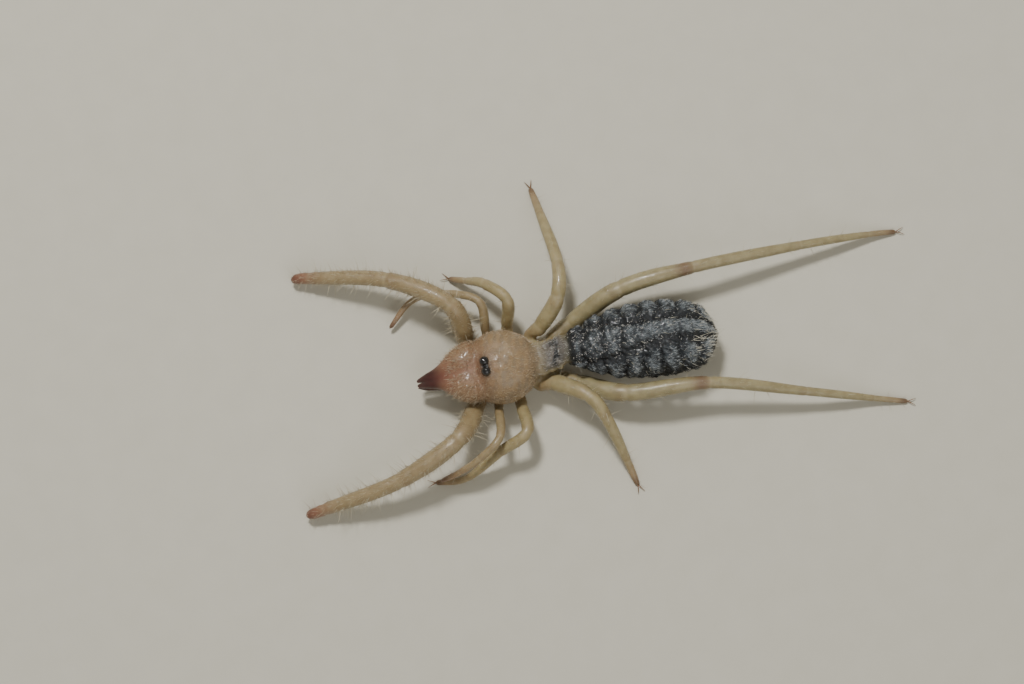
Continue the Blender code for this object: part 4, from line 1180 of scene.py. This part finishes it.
# %% Grow the coats
HAIR_INPUTS = ("Where", "Seed", "Per square mm", "Length", "Slimness", "Lean", "Wildness", "Curl", "Steps")
LIMB_NAMES = [f"{kind}_{side_name}" for kind, side_name in LIMBS]
PALPS, LEGS, JAWS, BAG = LIMB_NAMES[:2], LIMB_NAMES[2:], ["jaw_right", "jaw_left"], ["abdomen"]
COAT_TABLE = (
    ("coat_abdomen_short", BAG, slate_hair, "abdomen", "fur", 3, 62, 0.34, 0.055, 0.8, 0.22, 0.06, 2),
    # Silver hair grows thickest where the silver mark is, so it is partly painted light on the ridges.
    ("coat_abdomen_silver", BAG, silver_hair, "abdomen", "frost", 6, 105, 0.36, 0.055, 0.8, 0.2, 0.06, 2),
    ("coat_abdomen_flecks", BAG, cream_hair, "abdomen", "fleck", 4, 16, 0.16, 0.42, 0.6, 0.9, 0.1, 2),
    ("coat_abdomen_fringe", BAG, gold_hair, "abdomen", "fringe", 5, 7, 0.8, 0.035, 0.5, 0.45, 0.18, 3),
    ("coat_palps", PALPS, straw_hair, "limb", "fur", 7, 14, 0.5, 0.03, 0.35, 0.35, 0.2, 3),
    ("bristles_palps", PALPS, straw_hair, "limb", "fringe", 9, 2.6, 1.2, 0.02, 0.18, 0.25, 0.15, 3),
    ("coat_legs", LEGS, straw_hair, "limb", "fur", 11, 9, 0.42, 0.03, 0.5, 0.3, 0.2, 3),
    ("bristles_legs", LEGS, straw_hair, "limb", "fringe", 13, 1.5, 1.0, 0.02, 0.25, 0.35, 0.15, 3),
    ("coat_waist", ["waist"], cream_hair, "waist", "fur", 21, 12, 0.4, 0.035, 0.8, 0.3, 0.08, 3),
    ("coat_head", ["shield", "breast"], rose_hair, "shield", "fur", 15, 26, 0.26, 0.1, 0.5, 0.45, 0.2, 2),
    ("bristles_head", ["shield"], straw_hair, "shield", "fur", 23, 1.3, 0.6, 0.04, 0.6, 0.6, 0.2, 3),
    ("coat_jaws", JAWS, rose_hair, "chelicera", "fur", 17, 40, 0.3, 0.09, 0.5, 0.45, 0.2, 2),
    ("bristles_jaws", JAWS, straw_hair, "chelicera", "fur", 19, 4, 0.7, 0.04, 0.45, 0.45, 0.2, 3))


def emitter(names):
    work = bmesh.new()
    for name in names:
        work.from_mesh(parts[name].data)
    mesh = bpy.data.meshes.new("emitter")
    work.to_mesh(mesh)
    work.free()
    return placed("emitter", mesh)


def grow(piece_name, names, finish, slot, *inputs):
    ground = emitter(names)
    modifier = ground.modifiers.new("bristles", "NODES")
    modifier.node_group = bristles
    wanted = {"Finish": finish, **dict(zip(HAIR_INPUTS, inputs))}
    for item in bristles.interface.items_tree:
        if item.in_out == "INPUT" and item.name in wanted:
            modifier[item.identifier] = wanted[item.name]
    ground.update_tag()
    graph = bpy.context.evaluated_depsgraph_get()
    mesh = bpy.data.meshes.new_from_object(ground.evaluated_get(graph))
    bpy.data.objects.remove(ground, do_unlink=True)
    spare = [a for a in mesh.attributes if not (a.is_internal or a.is_required)]
    for layer in [a.name for a in spare if a.name not in KEPT_BY_HAIR]:
        mesh.attributes.remove(mesh.attributes[layer])
    mesh.name = piece_name
    made = placed(piece_name, mesh)
    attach(made, "root")
    faces = sum(len(p.vertices) - 2 for p in mesh.polygons)
    print(piece_name, "has", faces, "triangles")


for row in COAT_TABLE:
    grow(*row)
for part in parts.values():
    bpy.data.objects.remove(part, do_unlink=True)

# %% [markdown]
# The stage is a plain pale floor under a soft studio light. The photo was lit by a flash above
# and to the animal's right, so the key light stands there, and a large weak one fills the rest.

# %% Floor and light
FLOOR_SIZE = 1.2


def floor():
    half = FLOOR_SIZE / 2
    mesh = bpy.data.meshes.new("floor")
    mesh.from_pydata([(-half, -half, 0), (half, -half, 0), (half, half, 0), (-half, half, 0)], [],
                     [(0, 1, 2, 3)])
    made, tree, shader = blank_material("floor_pale_paper", Roughness=0.9)
    fibre = noise_at(tree, 3.0)
    tree.links.new(blend_colour(tree, fibre, colour("#c9c4b2"), colour("#d0cbba")),
                   shader.inputs["Base Color"])
    mesh.materials.append(made)
    item = placed("floor", mesh)


def area_light(name, place, size, watts):
    data = bpy.data.lights.new(name, "AREA")
    data.size = size
    data.energy = watts
    made = placed(name, data)
    made.location = place
    made.rotation_euler = Vector(place).to_track_quat("Z", "Y").to_euler()


floor()
area_light("key", place=(-0.05, 0.16, 0.34), size=0.05, watts=1.1)
area_light("fill", place=(0.1, -0.3, 0.35), size=0.35, watts=0.52)
world = bpy.data.worlds.new("studio")
bpy.context.scene.world = world
world.use_nodes = True
background = world.node_tree.nodes["Background"].inputs
background["Color"].default_value = colour("#eceae4")
background["Strength"].default_value = 0.35
print("two lights and a pale sky light the stage")

# %% [markdown]
# The photo looks almost straight down with a long lens. The camera's place is worked out from
# what it looks at, its distance and two angles, so that the animal fills the frame as there.

# %% Camera
CAMERA_AIM = np.array([3.16, 2.35, 3.0])
CAMERA_ELEVATION = math.radians(82.0)
CAMERA_AZIMUTH = math.radians(-11.1)
CAMERA_DISTANCE = 250.0
LENS_ON_36_MM = 87.9


def camera():
    data = bpy.data.cameras.new("camera")
    data.lens = LENS_ON_36_MM
    data.sensor_width = 36.0
    data.clip_start = 0.01
    made = placed("camera", data)
    flat = math.cos(CAMERA_ELEVATION)
    back = Vector((math.sin(CAMERA_AZIMUTH) * flat, -math.cos(CAMERA_AZIMUTH) * flat,
                   math.sin(CAMERA_ELEVATION)))
    made.location = Vector(ORIGIN + CAMERA_AIM * MM) + back * CAMERA_DISTANCE * MM
    made.rotation_euler = back.to_track_quat("Z", "Y").to_euler()
    bpy.context.scene.camera = made


camera()
print("the camera stands", CAMERA_DISTANCE, "mm from the animal")
